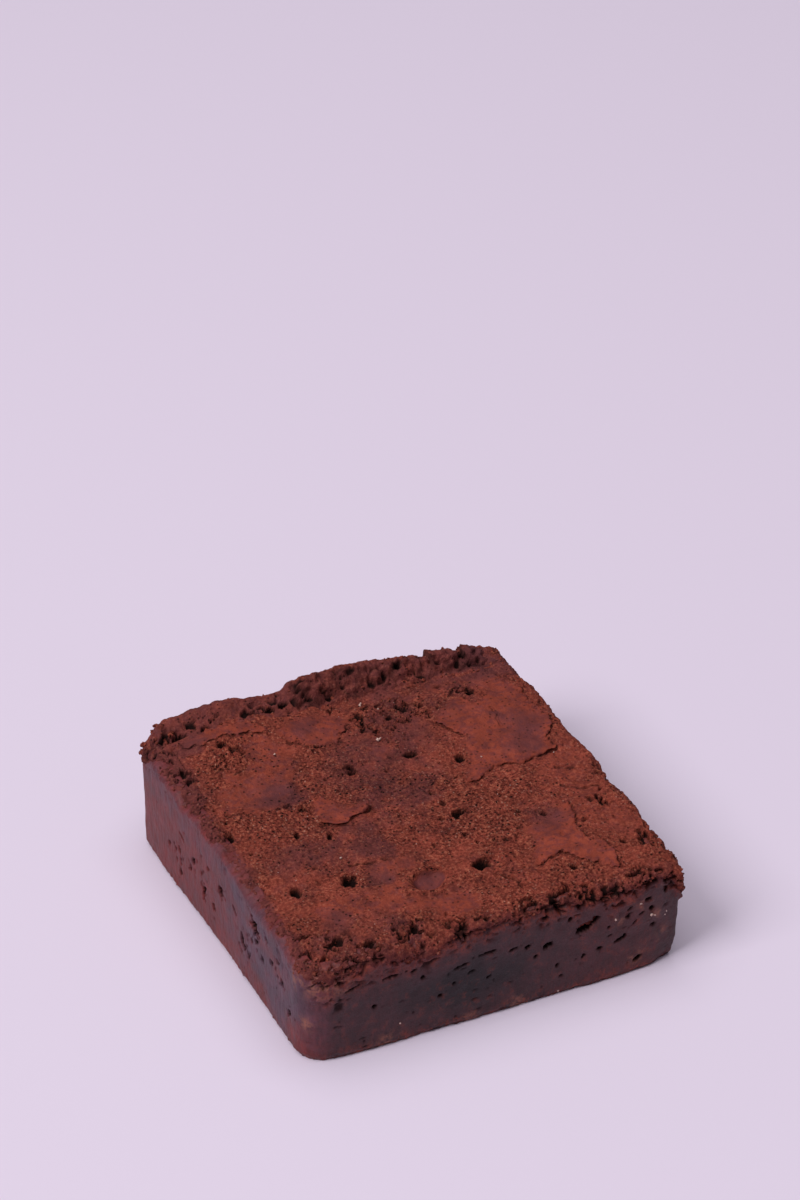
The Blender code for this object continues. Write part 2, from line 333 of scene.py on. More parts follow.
def crustMaterial(name, look):
    # Dry baked crumb: cocoa and flour grains of about half a millimetre with pale specks, painted shade in
    # the dips between them and in pinholes and marked hollows, a papery mottled skin in places that is
    # smoother and more orange, and purple-brown patches, partly a darker tone and partly a painted
    # reflection of the lavender surroundings
    material, shader, add, place, marks = startMaterial(name, look, ("skin", "hollow", "grain", "violet"))
    skin, hollow, grain, violet = marks
    at = {"Vector": place}
    fine = add("TexNoise", {}, {"Scale": 1000 / look["grain"], "Detail": 4.0, "Roughness": 0.7}, at)
    blotch = add("TexNoise", {}, {"Scale": 1000 / look["blotch"], "Detail": 4.0}, at)
    mottle = add("TexNoise", {}, {"Scale": 1000 / look["mottle"], "Detail": 3.0, "Roughness": 0.6}, at)
    dust = add("TexVoronoi", {}, {"Scale": 1000 / look["dust"]}, at).node
    pinhole = add("TexVoronoi", {}, {"Scale": 1000 / look["pinhole"]}, at).node
    lively = add("MapRange", {}, {"To Min": 0.35, "To Max": 1.0}, {"Value": grain})
    # Painted shade: the crumb turns dark red where the fine grain's bump is lowest
    dark = add("MapRange", {}, {"From Min": 0.49, "From Max": 0.39}, {"Value": fine})
    light = add("MapRange", {}, {"From Min": 0.53, "From Max": 0.64}, {"Value": fine})
    dark, light = (add("Math", product, {}, {0: shade, 1: lively}) for shade in (dark, light))
    chosen = add("SeparateColor", {}, {}, {"Color": dust.outputs["Color"]})
    speck = add("MapRange", {}, {"From Min": 0.62, "From Max": 0.95, "To Min": 0.0, "To Max": 0.7},
                {"Value": chosen})
    near = add("MapRange", {}, {"From Min": 0.4, "From Max": 0.2}, {"Value": dust.outputs["Distance"]})
    for factor in (grain, near):
        speck = add("Math", product, {}, {0: speck, 1: factor})
    chosen = add("SeparateColor", {}, {}, {"Color": pinhole.outputs["Color"]}, 1)
    hole = add("MapRange", {}, {"From Min": 0.7, "From Max": 0.78}, {"Value": chosen})
    near = add("MapRange", {}, {"From Min": 0.36, "From Max": 0.2}, {"Value": pinhole.outputs["Distance"]})
    for factor in (near, lively):
        hole = add("Math", product, {}, {0: hole, 1: factor})
    # Pinholes and the marked hollows take the near-black colour: painted shade
    hole = add("Math", {"operation": "MAXIMUM"}, {}, {0: hole, 1: hollow})
    mottle = add("MapRange", {}, {"From Min": 0.45, "From Max": 0.6}, {"Value": mottle})
    papery = add("Mix", rgba, {6: paint(look["skin"]), 7: paint(look["skinDark"])}, {0: mottle}, 2)
    # Purple-brown, partly a darker tone and partly a painted reflection of the lavender surroundings
    purple = add("Math", product, {1: 0.65}, {0: violet})
    body = add("Mix", rgba, {6: paint(look["crumb"]), 7: paint(look["grainGapShade"])}, {0: dark}, 2)
    for factor, colour in ((light, "crumbLight"), (speck, "speck")):
        body = add("Mix", rgba, {7: paint(look[colour])}, {0: factor, 6: body}, 2)
    body = add("Mix", rgba, {}, {0: skin, 6: body, 7: papery}, 2)
    body = add("Mix", rgba, {7: paint(look["violet"])}, {0: purple, 6: body}, 2)
    patch = add("MapRange", {}, {"From Min": 0.35, "From Max": 0.65, "To Min": 0.82, "To Max": 1.14},
                {"Value": blotch})
    body = add("VectorMath", {"operation": "SCALE"}, {}, {0: body, "Scale": patch})
    body = add("Mix", rgba, {7: paint(look["hollow"])}, {0: hole, 6: body}, 2)
    rough = add("MapRange", {}, {"To Min": look["roughness"], "To Max": look["skinRoughness"]},
                {"Value": skin})
    calm = add("MapRange", {}, {"To Min": 1.0, "To Max": 0.35}, {"Value": skin})
    calm = add("Math", product, {}, {0: calm, 1: lively})
    relief = add("Math", {"operation": "MULTIPLY_ADD"}, {1: -0.8}, {0: hole, 2: fine})
    relief = add("Math", product, {}, {0: relief, 1: calm})
    normal = add("Bump", {}, {"Strength": 1.0, "Distance": look["relief"] * mm}, {"Height": relief})
    joinShader(material, shader, {"Base Color": body, "Roughness": rough, "Normal": normal})
    return material


cutLook = {
    # The bluish colour on the next line is a painted sheen, standing in for the reflection of the lavender
    # surroundings
    "body": "#44262a", "core": "#271a1e", "dry": "#6b2828", "cool": "#503542", "warm": "#7a3326",
    # On the next line, the near black is painted shade in holes, tears and gaps, where the shine is also
    # taken away
    "worn": "#8e5747", "hollow": "#130606", "roughness": 0.46, "roughnessSpread": (-0.01, 0.12),
    "specular": 0.38, "hollowSpecular": 0.02,
    # sizes in millimetres
    "blotch": 3.5, "streak": 0.9, "grain": 0.5, "relief": 0.25,
}


def cutMaterial(name, look):
    # Knife-cut fudgy crumb: dense, dark and a little greasy, darkest in its moist core, paler and browner
    # where it has dried, with a painted bluish sheen where it would reflect the lavender surroundings,
    # painted shade in its holes and gaps, and red-brown crumbs near the crust and along the bottom
    names = ("warm", "hollow", "dry", "core", "cool", "worn")
    material, shader, add, place, marks = startMaterial(name, look, names)
    warm, hollow, dry, core, cool, worn = marks
    at = {"Vector": place}
    smear = {"Vector": add("Mapping", {}, {"Scale": (1.0, 1.0, 0.35)}, at)}
    broad = add("TexNoise", {}, {"Scale": 1000 / look["blotch"], "Detail": 5.0, "Roughness": 0.6}, at)
    streak = add("TexNoise", {}, {"Scale": 1000 / look["streak"], "Detail": 4.0, "Roughness": 0.6}, smear)
    fine = add("TexNoise", {}, {"Scale": 1000 / look["grain"], "Detail": 3.0, "Roughness": 0.7}, at)
    speckle = add("Math", {"operation": "ADD"}, {}, {0: fine, 1: broad})
    speckle = add("MapRange", {}, {"From Min": 0.9, "From Max": 1.14}, {"Value": speckle})
    speckle = add("Math", product, {}, {0: speckle, 1: warm})
    patch = add("MapRange", {}, {"From Min": 0.35, "From Max": 0.65, "To Min": 0.84, "To Max": 1.16},
                {"Value": broad})
    line = add("MapRange", {}, {"From Min": 0.35, "From Max": 0.65, "To Min": 0.8, "To Max": 1.2},
               {"Value": streak})
    patch = add("Math", product, {}, {0: patch, 1: line})
    rubbed = add("MapRange", {}, {"From Min": 0.3, "From Max": 0.55}, {"Value": fine})
    rubbed = add("Math", product, {}, {0: rubbed, 1: worn})
    body = add("Mix", rgba, {6: paint(look["body"]), 7: paint(look["core"])}, {0: core}, 2)
    for factor, colour in ((dry, "dry"), (cool, "cool"), (speckle, "warm")):
        body = add("Mix", rgba, {7: paint(look[colour])}, {0: factor, 6: body}, 2)
    body = add("VectorMath", {"operation": "SCALE"}, {}, {0: body, "Scale": patch})
    # Holes and gaps take the near-black colour and, below, lose their shine: painted shade
    for factor, colour in ((rubbed, "worn"), (hollow, "hollow")):
        body = add("Mix", rgba, {7: paint(look[colour])}, {0: factor, 6: body}, 2)
    smoothest, roughest = (look["roughness"] + more for more in look["roughnessSpread"])
    rough = add("MapRange", {}, {"From Min": 0.3, "From Max": 0.7, "To Min": smoothest, "To Max": roughest},
                {"Value": streak})
    shine = add("MapRange", {}, {"To Min": look["specular"], "To Max": look["hollowSpecular"]},
                {"Value": hollow})
    relief = add("Math", {"operation": "MULTIPLY_ADD"}, {1: 0.8}, {0: fine, 2: streak})
    normal = add("Bump", {}, {"Strength": 0.8, "Distance": look["relief"] * mm}, {"Height": relief})
    joinShader(material, shader, {"Base Color": body, "Roughness": rough, "Normal": normal,
                                  "Specular IOR Level": shine})
    return material


bakedCrust = crustMaterial("baked brownie crust", crustLook)
cutCrumb = cutMaterial("knife-cut fudgy crumb", cutLook)
print("materials made")


# Relief of the crust
zones = {
    # x, y, reach
    "smooth": ((3, 17.5, 2.5), (-3.5, -35.5, 3), (18, -20, 2.5), (33, 30, 4), (-9, -19, 2.5), (22, 33, 3)),
    "grainy": ((-14, 15, 6), (-6, 6, 5), (4, 4, 6), (0, 18, 4), (22, -6, 5), (12, -14, 6), (14, -33, 5),
               (6, -36, 5), (-30, 4, 5), (-29, 26, 4), (-3, -3, 4), (-22, 3, 4)),
    # Purple-brown areas, partly a darker tone and partly a painted reflection of the lavender surroundings
    "purple": ((-2, 13, 11), (8, 22, 9), (-16, -10, 9), (-29, -8, 6), (0, 1, 8), (31, 8, 5), (24, 34, 8),
               (10, 34, 6), (-32, -36, 6), (-20, -35, 5), (22, -17, 5)),
    "violet": ((-24.0, 12, 4.2), (-8.5, 30.5, 3), (34.5, 14, 3.5), (30, 5.5, 3.5), (24, -18.5, 3.2),
               (5.5, -26, 2.6), (-15, -22, 2.6), (-28, -29, 2.4), (-33, 33, 3), (-12, -13, 3),
               (29, 17, 2.5), (-22, 10, 3.5), (33, 36, 4), (39, 34, 4), (-39.5, 33, 4.5), (-38.5, 25, 3.6),
               (-38.5, 17.5, 3.2)),
    "bright": ((33, -6, 7), (31, -18, 6), (10, -31, 6), (37, 3, 5), (36, -24, 5)),
    "rubble": ((2.5, 27.5, 4), (9, 30, 4.5), (14, 27, 4.5), (27, 28.5, 2.2), (-28, 26, 4.5), (-38, 25, 3),
               (-30, -37, 5), (-17, -38, 4), (-36, -33, 3.5), (-8, -39.5, 2.5), (7, -41, 2.5),
               (14.5, -40.5, 3.5), (22, -41.5, 4), (30, -41, 4), (-38.5, 3, 2.6), (-40, 34, 4),
               (-2, 34.5, 3), (37, -31, 3), (-10, 24.5, 2.5), (6, 22, 3), (-39, 15, 2.4), (35, -16, 2.5)),
}
pits = (
    # x, y, long axis, short axis, turn in degrees, depth
    (4.6, -25.4, 4.4, 3.8, 20, 3.0), (-21.3, -19.8, 3.8, 3.2, 40, 2.6), (-31.9, -18.0, 4.2, 2.2, 80, 2.2),
    (7.7, -8.4, 3.8, 2.4, 10, 2.2), (7.5, 13.7, 3.6, 2.2, 5, 2.1), (-5.6, 13.4, 2.8, 2.2, 40, 2.0),
    (-5.4, 15.2, 1.6, 1.6, 0, 1.4), (16.0, 8.1, 3.0, 2.4, 60, 2.0), (-30.6, -34.9, 3.4, 2.4, 75, 1.7),
    (-37.2, 2.2, 3.4, 1.8, 50, 1.9), (3.1, 28.6, 4.4, 1.5, 80, 1.9), (3.8, 25.0, 2.4, 1.2, 100, 1.2),
    (12.5, 28.9, 3.8, 2.4, 115, 2.3), (16.4, 24.9, 2.8, 1.3, 160, 1.3), (28.2, 28.4, 3.6, 2.4, 60, 2.1),
    (-27.3, 30.2, 2.4, 2.0, 40, 1.8), (-24.6, -2.0, 2.2, 1.4, 80, 1.4), (-18.9, -5.0, 2.4, 1.2, 60, 1.3),
    (5.4, -0.2, 1.6, 0.9, 60, 1.0), (5.5, -15.7, 1.4, 1.0, 60, 1.0), (-1.4, -16.0, 1.6, 0.9, 70, 0.9),
    (3.6, -8.8, 2.0, 1.3, 10, 1.0), (23.0, -24.3, 2.0, 1.5, 40, 1.3), (20.1, -34.0, 2.0, 1.8, 80, 1.4),
    (32.9, -30.6, 2.2, 1.5, 100, 1.3), (29.3, -21.6, 2.0, 1.0, 20, 1.0), (22.7, -16.1, 2.0, 1.4, 0, 1.0),
    (6.8, -18.7, 1.6, 0.9, 90, 0.8), (-25.9, -39.0, 3.2, 2.4, 20, 2.2), (-34.6, -38.2, 3.0, 2.0, 60, 1.8),
    (-36.9, -31.5, 3.4, 1.0, 10, 1.3), (-15.9, -37.4, 2.8, 1.8, 70, 1.6), (-8.6, -36.6, 2.6, 1.0, 50, 1.4),
    (-37.8, 22.3, 2.0, 1.2, 30, 1.6), (-40.0, 31.0, 3.4, 1.6, 95, 1.8), (-39.8, 17.4, 1.5, 1.0, 70, 1.2),
    (-37.4, 26.6, 1.6, 1.2, 60, 1.2), (12.4, 2.6, 1.3, 0.8, 0, 0.8), (35.0, -23.0, 1.0, 0.8, 0, 0.8),
    (-12.0, 12.6, 1.2, 0.8, 40, 0.8), (7.0, -41.3, 2.6, 1.4, 10, 2.2), (14.3, -40.4, 4.2, 1.6, 15, 2.4),
    (19.5, -39.6, 2.4, 1.2, 20, 1.8), (24.0, -42.0, 3.4, 1.2, 0, 2.0), (29.6, -40.8, 3.0, 1.2, 5, 1.8),
    (35.0, -41.6, 2.4, 1.2, 0, 1.6), (18.6, -13.2, 1.6, 0.9, 30, 0.9), (22.9, 32.9, 2.0, 1.0, 0, 1.0),
    (37.0, -13.2, 1.6, 1.0, 40, 1.0), (9.5, 20.5, 1.0, 0.8, 0, 0.7), (0.8, -23.6, 0.9, 0.7, 0, 0.6),
    (-37.3, 17.4, 1.8, 1.2, 40, 1.4), (-35.8, 7.3, 1.3, 0.9, 70, 1.1), (-38.6, -9.2, 1.7, 1.0, 30, 1.3),
    (-37.6, -14.8, 1.4, 1.0, 60, 1.1), (-38.4, -24.6, 1.9, 1.1, 20, 1.3), (-38.6, 6.6, 1.5, 1.0, 50, 1.3),
    (-35.2, -4.0, 1.2, 0.8, 20, 0.9), (-36.4, 12.2, 1.1, 0.8, 80, 0.9),
)
# x, y, long axis, short axis, turn in degrees, depth, height of the raised edge
dimples = ((-7.0, -25.3, 7.6, 5.6, 12, 1.2, 0.35), (6.8, -25.4, 5.2, 3.8, 0, 1.0, 0.1),
           (-5.2, 14.0, 4.6, 4.4, 0, 0.5, 0.1))
cracks = (
    # corners of each thin crack
    ((29.2, 20.6), (29.6, 18.0), (28.6, 16.4), (28.5, 14.1)),
    ((-19.5, -15.4), (-16.5, -16.4), (-13.0, -16.2), (-11.0, -17.6)),
    ((-35.0, 9.4), (-31.0, 8.2), (-28.0, 8.6), (-24.5, 7.0), (-21.8, 7.8)),
    ((30.5, -9.0), (33.5, -11.5), (37.5, -12.0)), ((-33.0, 21.8), (-29.0, 20.8), (-26.0, 21.6)),
    ((12.0, -17.4), (15.5, -18.4), (19.0, -16.6)), ((-12.5, -31.0), (-9.5, -30.2), (-7.5, -31.4)),
    ((-26.5, -27.4), (-23.0, -28.0), (-20.5, -27.0)), ((22.5, 28.0), (25.5, 30.6), (28.5, 30.2)),
    ((6.0, -30.5), (8.5, -33.0), (8.0, -35.5)), ((31.5, -3.0), (35.5, -4.5)),
)


def turned(x, y, px, py, long, short, turn):
    # Distance from an ellipse's middle, 1 on the ellipse
    turn = np.radians(turn)
    u = ((x - px) * np.cos(turn) + (y - py) * np.sin(turn)) / (long / 2)
    v = ((y - py) * np.cos(turn) - (x - px) * np.sin(turn)) / (short / 2)
    return np.hypot(u, v)


def crackedness(x, y, width):
    # 1 along the thin cracks, fading with the distance from the nearest
    return np.maximum.reduce([bump(fromOutline(x, y, corners, False)[0], width) for corners in cracks])


def pitDepth(x, y, features, wobble):
    # Deepest of many ellipses whose edges wander: each falls steeply at the wall and is flat in the middle
    deep = 0 * x
    for *ellipse, depth in features:
        away = turned(x, y, *ellipse) * (1 + 0.28 * wobble)
        deep = np.maximum(deep, depth * ease(1.05, 0.3, away) ** 0.7)
    return deep


def broadRelief(x, y):
    # Long swells that the skin follows too, and the shallow dimples in it
    p = joined(x, y, 0)
    height = 0.30 * layers(p, 9.0, 3) + 0.12 * waves(p, 3.6, 5)
    wobble = layers(p, 2.5, 7)
    for *ellipse, depth, edge in dimples:
        away = turned(x, y, *ellipse) * (1 + 0.15 * wobble)
        height = height - depth * ease(1.1, 0.5, away) + edge * bump(away - 1.2, 0.2)
    return height


def dimpleFloor(x, y):
    # 1 on the smooth floor of the largest dimple
    return ease(1.0, 0.75, turned(x, y, *dimples[0][:5]) + 0.1 * waves(joined(x, y, 0), 1.5, 57))


def violetness(x, y):
    # Where the crust is painted purple-brown, partly a darker tone and partly a painted reflection of the
    # lavender
    # surroundings: wide faint areas, small clear ones, and the strip along the left edge
    p = joined(x, y, 0)
    drift = layers(p, 7.0, 51)
    total = 0.7 * patches(x, y, zones["purple"]) + 0.9 * patches(x, y, zones["violet"]) + 0.35 * drift
    total = total + 0.6 * ease(-35.5, -39.0, x + drift) + 0.4 * ease(-37.5, -41.0, y + drift)
    total = total - 0.6 * patches(x, y, zones["bright"])
    darkest = 1 + 0.4 * patches(x, y, ((-22.5, 11, 4.2), (41, 37, 4), (36, 37, 4)))
    return ease(0.0, 1.0, total + 0.35 * layers(p, 2.4, 55) + 1.2 * dimpleFloor(x, y)) * darkest


def crustRelief(x, y, z):
    # Lumps and grains of crumb, torn in the rubbly patches and faint in the smooth ones, with chance
    # bubbles, thin cracks and the named pits. Gives the height and the marks that colour it
    p = joined(x, y, z)
    flat = joined(x, y, 0)
    drift = 0.5 * layers(p, 7.0, 151)
    speckled = 0.5 * layers(p, 2.4, 155)
    strips = held(ease(-35.5, -39.0, x + 2 * drift) + 0.5 * ease(-36.5, -40.0, y + 2 * drift))
    smooth = ease(0.4, 0.9, patches(x, y, zones["smooth"]) + 0.6 * drift + 0.5 * speckled - strips)
    smooth = np.maximum(smooth, dimpleFloor(x, y))
    bright = patches(x, y, zones["bright"])
    grain = 0.55 + 0.5 * patches(x, y, zones["grainy"]) - 0.2 * bright
    grain = np.clip(grain + drift + 0.5 * speckled, 0.25, 1) * (1 - 0.7 * smooth)
    rubble = ease(0.3, 0.75, patches(x, y, zones["rubble"]) + 0.25 * strips + 0.6 * drift + 0.4 * speckled)
    nodule, _ = nearest(p, 0.9, 47)
    torn, lumps = tornCrumb(p, 2.4, 31)
    height = 0.22 * layers(p, 3.4, 21) * (1 - 0.5 * smooth) + (0.05 + 0.15 * grain) * layers(p, 1.0, 41)
    height = height + (0.04 + 0.24 * grain) * (0.5 - nodule) + rubble * (0.2 + 0.55 * lumps - torn)
    holes = bubbles(p, 1.4, 61, 0.32, 0.5) * (0.1 + 0.9 * grain)
    holes = (holes + bubbles(p, 3.6, 71, 0.2, 0.95) * (0.2 + 0.8 * grain)) * (1 - rubble)
    bentX, bentY = x + 0.35 * waves(flat, 1.3, 83), y + 0.35 * waves(flat, 1.3, 86)
    crack = crackedness(bentX, bentY, 0.22) * ease(-0.5, 0.0, waves(flat, 1.8, 88))
    deep = pitDepth(x, y, pits, layers(flat, 1.3, 81, 3))
    height = (height - holes) * np.clip(1 - 0.5 * deep, 0.3, 1) - deep - 0.5 * crack
    # Painted shade: the hollow mark darkens bubbles, pits, cracks, torn rubble and the gaps between nodules
    gaps = 0.35 * grain * ease(0.62, 0.9, nodule)
    hollow = ease(0.2, 0.7, holes) * 0.8 + ease(0.3, 1.1, deep) + 0.8 * crack + gaps
    hollow = hollow + rubble * ease(0.3, 0.95, torn)
    skin = np.maximum(np.maximum(0.6 * smooth, 0.45 * bright), 0.9 * dimpleFloor(x, y))
    grain = np.maximum(grain, 0.6 * rubble)
    return height, {"hollow": held(hollow), "grain": grain, "violet": violetness(x, y), "skin": skin}


# Skins: where the crust's thin papery top still lies on the crumb
skins = {
    # outline in plan; lift of the surface, curl at the free edges, raggedness, how much of the edge is
    # free. A skin without lift has no edge to cast a shadow and is only a smooth place in the lid
    "skinBackRight": {"lift": 0.30, "curl": 0.30, "ragged": 0.35, "free": 0.0, "outline": (
        (16.4, 21.4), (19.4, 24.7), (22.5, 28.0), (25.6, 27.6), (26.7, 23.9), (28.6, 24.4), (31.4, 27.5),
        (35.9, 32.4), (37.0, 28.6), (38.5, 25.0), (37.8, 20.2), (38.9, 16.8), (39.4, 14.3), (37.9, 9.8),
        (35.2, 7.2), (35.3, 2.6), (29.7, 2.0), (26.3, 0.9), (23.5, 2.5), (20.9, 2.3), (18.3, 1.1),
        (15.6, -0.9), (13.0, 0.2), (15.6, 3.7), (18.2, 8.7), (17.5, 11.8), (20.5, 13.9), (18.4, 17.0))},
    "skinBackMiddle": {"lift": 0.14, "curl": 0.12, "ragged": 0.8, "free": -0.35, "outline": (
        (-14.5, 27.5), (-15.5, 30.5), (-11.0, 33.6), (-4.4, 33.6), (0.0, 31.6), (0.9, 29.1), (-2.3, 25.7),
        (-4.9, 22.7), (-8.7, 23.9), (-11.8, 25.1))},
    "skinLeft": {"lift": 0.0, "curl": 0.0, "ragged": 1.5, "free": -0.6, "outline": (
        (-23.1, 31.0), (-17.7, 31.6), (-14.7, 27.5), (-14.3, 22.6), (-16.5, 18.4), (-18.0, 13.7),
        (-21.4, 8.6), (-24.3, 7.3), (-28.9, 7.4), (-31.4, 8.6), (-34.7, 10.0), (-36.4, 11.5), (-33.6, 18.1),
        (-30.5, 21.9), (-27.1, 21.6), (-24.5, 24.1), (-23.9, 28.1))},
    "skinShelf": {"lift": 0.12, "curl": 0.12, "ragged": 0.6, "free": 0.0, "outline": (
        (-34.6, 35.0), (-32.0, 36.4), (-27.8, 36.2), (-22.3, 35.4), (-17.7, 34.4), (-16.4, 31.0),
        (-21.1, 31.2), (-26.8, 32.5), (-31.0, 32.1), (-33.5, 32.7))},
    "skinCurled": {"lift": 0.34, "curl": 0.3, "ragged": 0.25, "free": 0.3, "outline": (
        (-17.7, 6.9), (-15.5, 7.8), (-14.2, 5.3), (-12.4, 2.5), (-10.3, 1.9), (-7.9, 1.1), (-8.0, -0.2),
        (-9.8, -1.3), (-12.3, -1.5), (-14.0, -2.7), (-16.6, -2.5), (-18.6, -0.9), (-18.8, 2.1),
        (-18.5, 4.6))},
    "skinSmall": {"lift": 0.0, "curl": 0.0, "ragged": 0.5, "free": -0.4, "outline": (
        (1.1, 20.0), (3.4, 19.6), (4.7, 17.6), (3.2, 14.9), (0.9, 14.2), (-0.1, 16.4))},
    "skinRight": {"lift": 0.2, "curl": 0.16, "ragged": 0.4, "free": -0.1, "outline": (
        (26.7, -15.0), (29.3, -14.1), (28.1, -19.2), (26.7, -22.8), (26.8, -27.0), (29.3, -28.8),
        (29.6, -33.0), (28.3, -37.8), (26.6, -36.6), (25.1, -34.6), (22.4, -32.6), (21.5, -30.7),
        (20.4, -28.8), (16.2, -29.6), (14.5, -30.8), (13.7, -27.8), (16.1, -24.8), (17.5, -21.3),
        (20.6, -18.6), (24.1, -17.4))},
    "skinFront": {"lift": 0.0, "curl": 0.0, "ragged": 1.6, "free": -0.7, "outline": (
        (-18.0, -16.5), (-11.5, -17.2), (-9.0, -20.0), (-11.5, -22.5), (-12.5, -27.0), (-8.0, -30.0),
        (-3.0, -30.0), (-1.0, -33.0), (1.0, -37.0), (-4.0, -38.5), (-9.0, -37.0), (-12.0, -33.5),
        (-17.0, -30.5), (-22.0, -31.0), (-27.0, -31.0), (-31.0, -29.5), (-33.5, -25.5), (-30.0, -22.5),
        (-25.0, -23.0), (-18.5, -24.5), (-16.5, -21.0))},
}
freeSide = (0.3, -0.95)  # the skins stand free on this side and melt into the crust on the other


def fromOutline(x, y, corners, closed=True):
    # Distance to a line of corners, signed and positive inside where it is closed: least distance to its
    # sides, sign from counting crossings. Also how far the nearest side faces the free side, from -1 to 1
    ring = np.array(corners)
    best = np.full(x.shape, 1e9)
    awayX, awayY = np.zeros(x.shape), np.zeros(x.shape)
    inside = np.zeros(x.shape, bool)
    pairs = zip(ring, np.roll(ring, -1, axis=0)) if closed else zip(ring[:-1], ring[1:])
    for (ax, ay), (bx, by) in pairs:
        t = held(((x - ax) * (bx - ax) + (y - ay) * (by - ay)) / ((bx - ax) ** 2 + (by - ay) ** 2))
        dx, dy = x - ax - t * (bx - ax), y - ay - t * (by - ay)
        distance = np.hypot(dx, dy)
        closer = distance < best
        best = np.where(closer, distance, best)
        awayX, awayY = np.where(closer, dx, awayX), np.where(closer, dy, awayY)
        if ay != by:
            inside ^= ((ay > y) != (by > y)) & (x < (bx - ax) * (y - ay) / (by - ay) + ax)
    sign = np.where(inside, -1, 1) if closed else -1
    facing = sign * (awayX * freeSide[0] + awayY * freeSide[1]) / np.maximum(best, 1e-6)
    return -sign * best, facing


def raggedness(flat):
    # How far a skin's edge wanders, coarse and fine
    return layers(flat, 2.2, 201) + 0.5 * waves(flat, 0.8, 205)


def freedom(flat, facing, skin):
    # 1 where a skin's edge stands free, 0 where it melts into the crust
    return ease(-0.45, 0.45, facing + skin["free"] + 0.7 * waves(flat, 4.0, 91))


def skinCover(x, y):
    # 1 under a skin, 0 away from one, and the gap under its free edges, sunk into the relief and painted
    # with shade
    cover = np.zeros(x.shape)
    gap = np.zeros(x.shape)
    flat = joined(x, y, 0)
    ragged = raggedness(flat)
    coarse, fine = layers(flat, 5.0, 211), layers(flat, 1.4, 207)
    for skin in skins.values():
        within, facing = fromOutline(x, y, skin["outline"])
        within = within + skin["ragged"] * ragged
        soft = 0.75 if skin["lift"] else 0.3
        thin = 0.85 * ease(-0.8, 1.2, within - 0.6 + 2.4 * coarse + 0.9 * fine)
        cover = np.maximum(cover, ease(-0.3, 1.0, within) if skin["lift"] else thin)
        gap = np.maximum(gap, bump(within + 0.1, 0.26) * freedom(flat, facing, skin) * soft)
    return cover, gap * ease(-0.6, 0.2, layers(flat, 1.8, 95))


def underSkins(x, y, height, marks):
    # Smooths the relief under the skins and cuts the gap along their free edges, which is also painted with
    # shade
    cover, gap = skinCover(x, y)
    marks["hollow"] = held(marks["hollow"] * (1 - cover) + 0.95 * gap)
    marks["skin"] = np.maximum(marks["skin"], 0.85 * cover)
    flat = joined(x, y, 0)
    papery = 0.07 * layers(flat, 1.6, 223, 3)
    return height * (1 - 0.85 * cover) + papery * cover - 0.45 * gap, cover


topSheet = {"step": 0.25, "margin": 3.9, "back": 37.4, "floor": 14.0}


def makeCrustTop():
    # The lid between the edges: a square grid raised to the crust's height plus its relief, sunk along its
    # border and closed by a skirt and a flat bottom
    halfX = block["width"] / 2 - topSheet["margin"]
    frontY, backY = -block["depth"] / 2 + topSheet["margin"], topSheet["back"]
    step = topSheet["step"]
    x, y = np.meshgrid(np.arange(-halfX, halfX, step), np.arange(frontY, backY, step))
    x, y = x - block["middle"][0], y - block["middle"][1]
    ground = crustHeight(x, y)
    height, marks = crustRelief(x, y, ground)
    height, cover = underSkins(x, y, height, marks)
    behind = 1.6 * ease(36.0, 37.3, y + 0.9 * waves(joined(x, y, 0), 3.0, 103))
    z = ground + broadRelief(x, y) + height - ease(4.25, 3.95, inset(x, y)) - behind
    rows, columns = x.shape
    points = joined(x, y, z).reshape(-1, 3)
    index = np.arange(rows * columns).reshape(rows, columns)
    ring = np.concatenate([index[0, :-1], index[:-1, -1], index[-1, :0:-1], index[:0:-1, 0]])
    skirt = points[ring].copy()
    skirt[:, 2] = topSheet["floor"]
    lower = len(points) + np.arange(len(ring))
    wall = np.stack([ring, lower, np.roll(lower, -1), np.roll(ring, -1)], -1)
    plain = np.zeros(len(ring))
    allMarks = {mark: np.concatenate([values.ravel(), plain]) for mark, values in marks.items()}
    faces = [gridFaces(rows, columns), wall, lower[::-1][None]]
    putMesh("crustTop", np.concatenate([points, skirt]), faces, bakedCrust, allMarks)
    return points.reshape(rows, columns, 3), cover, marks["grain"]


topPoints, topCover, topGrain = makeCrustTop()


skinSheet = {
    # spacing of the points along the edge and inside it, and how far in those inside start
    "edge": 0.2, "columns": 0.3, "rows": 0.26, "clear": 0.16,
    # thickness at the edge, and how much it grows further in
    "thin": 0.14, "thicker": 0.6,
}


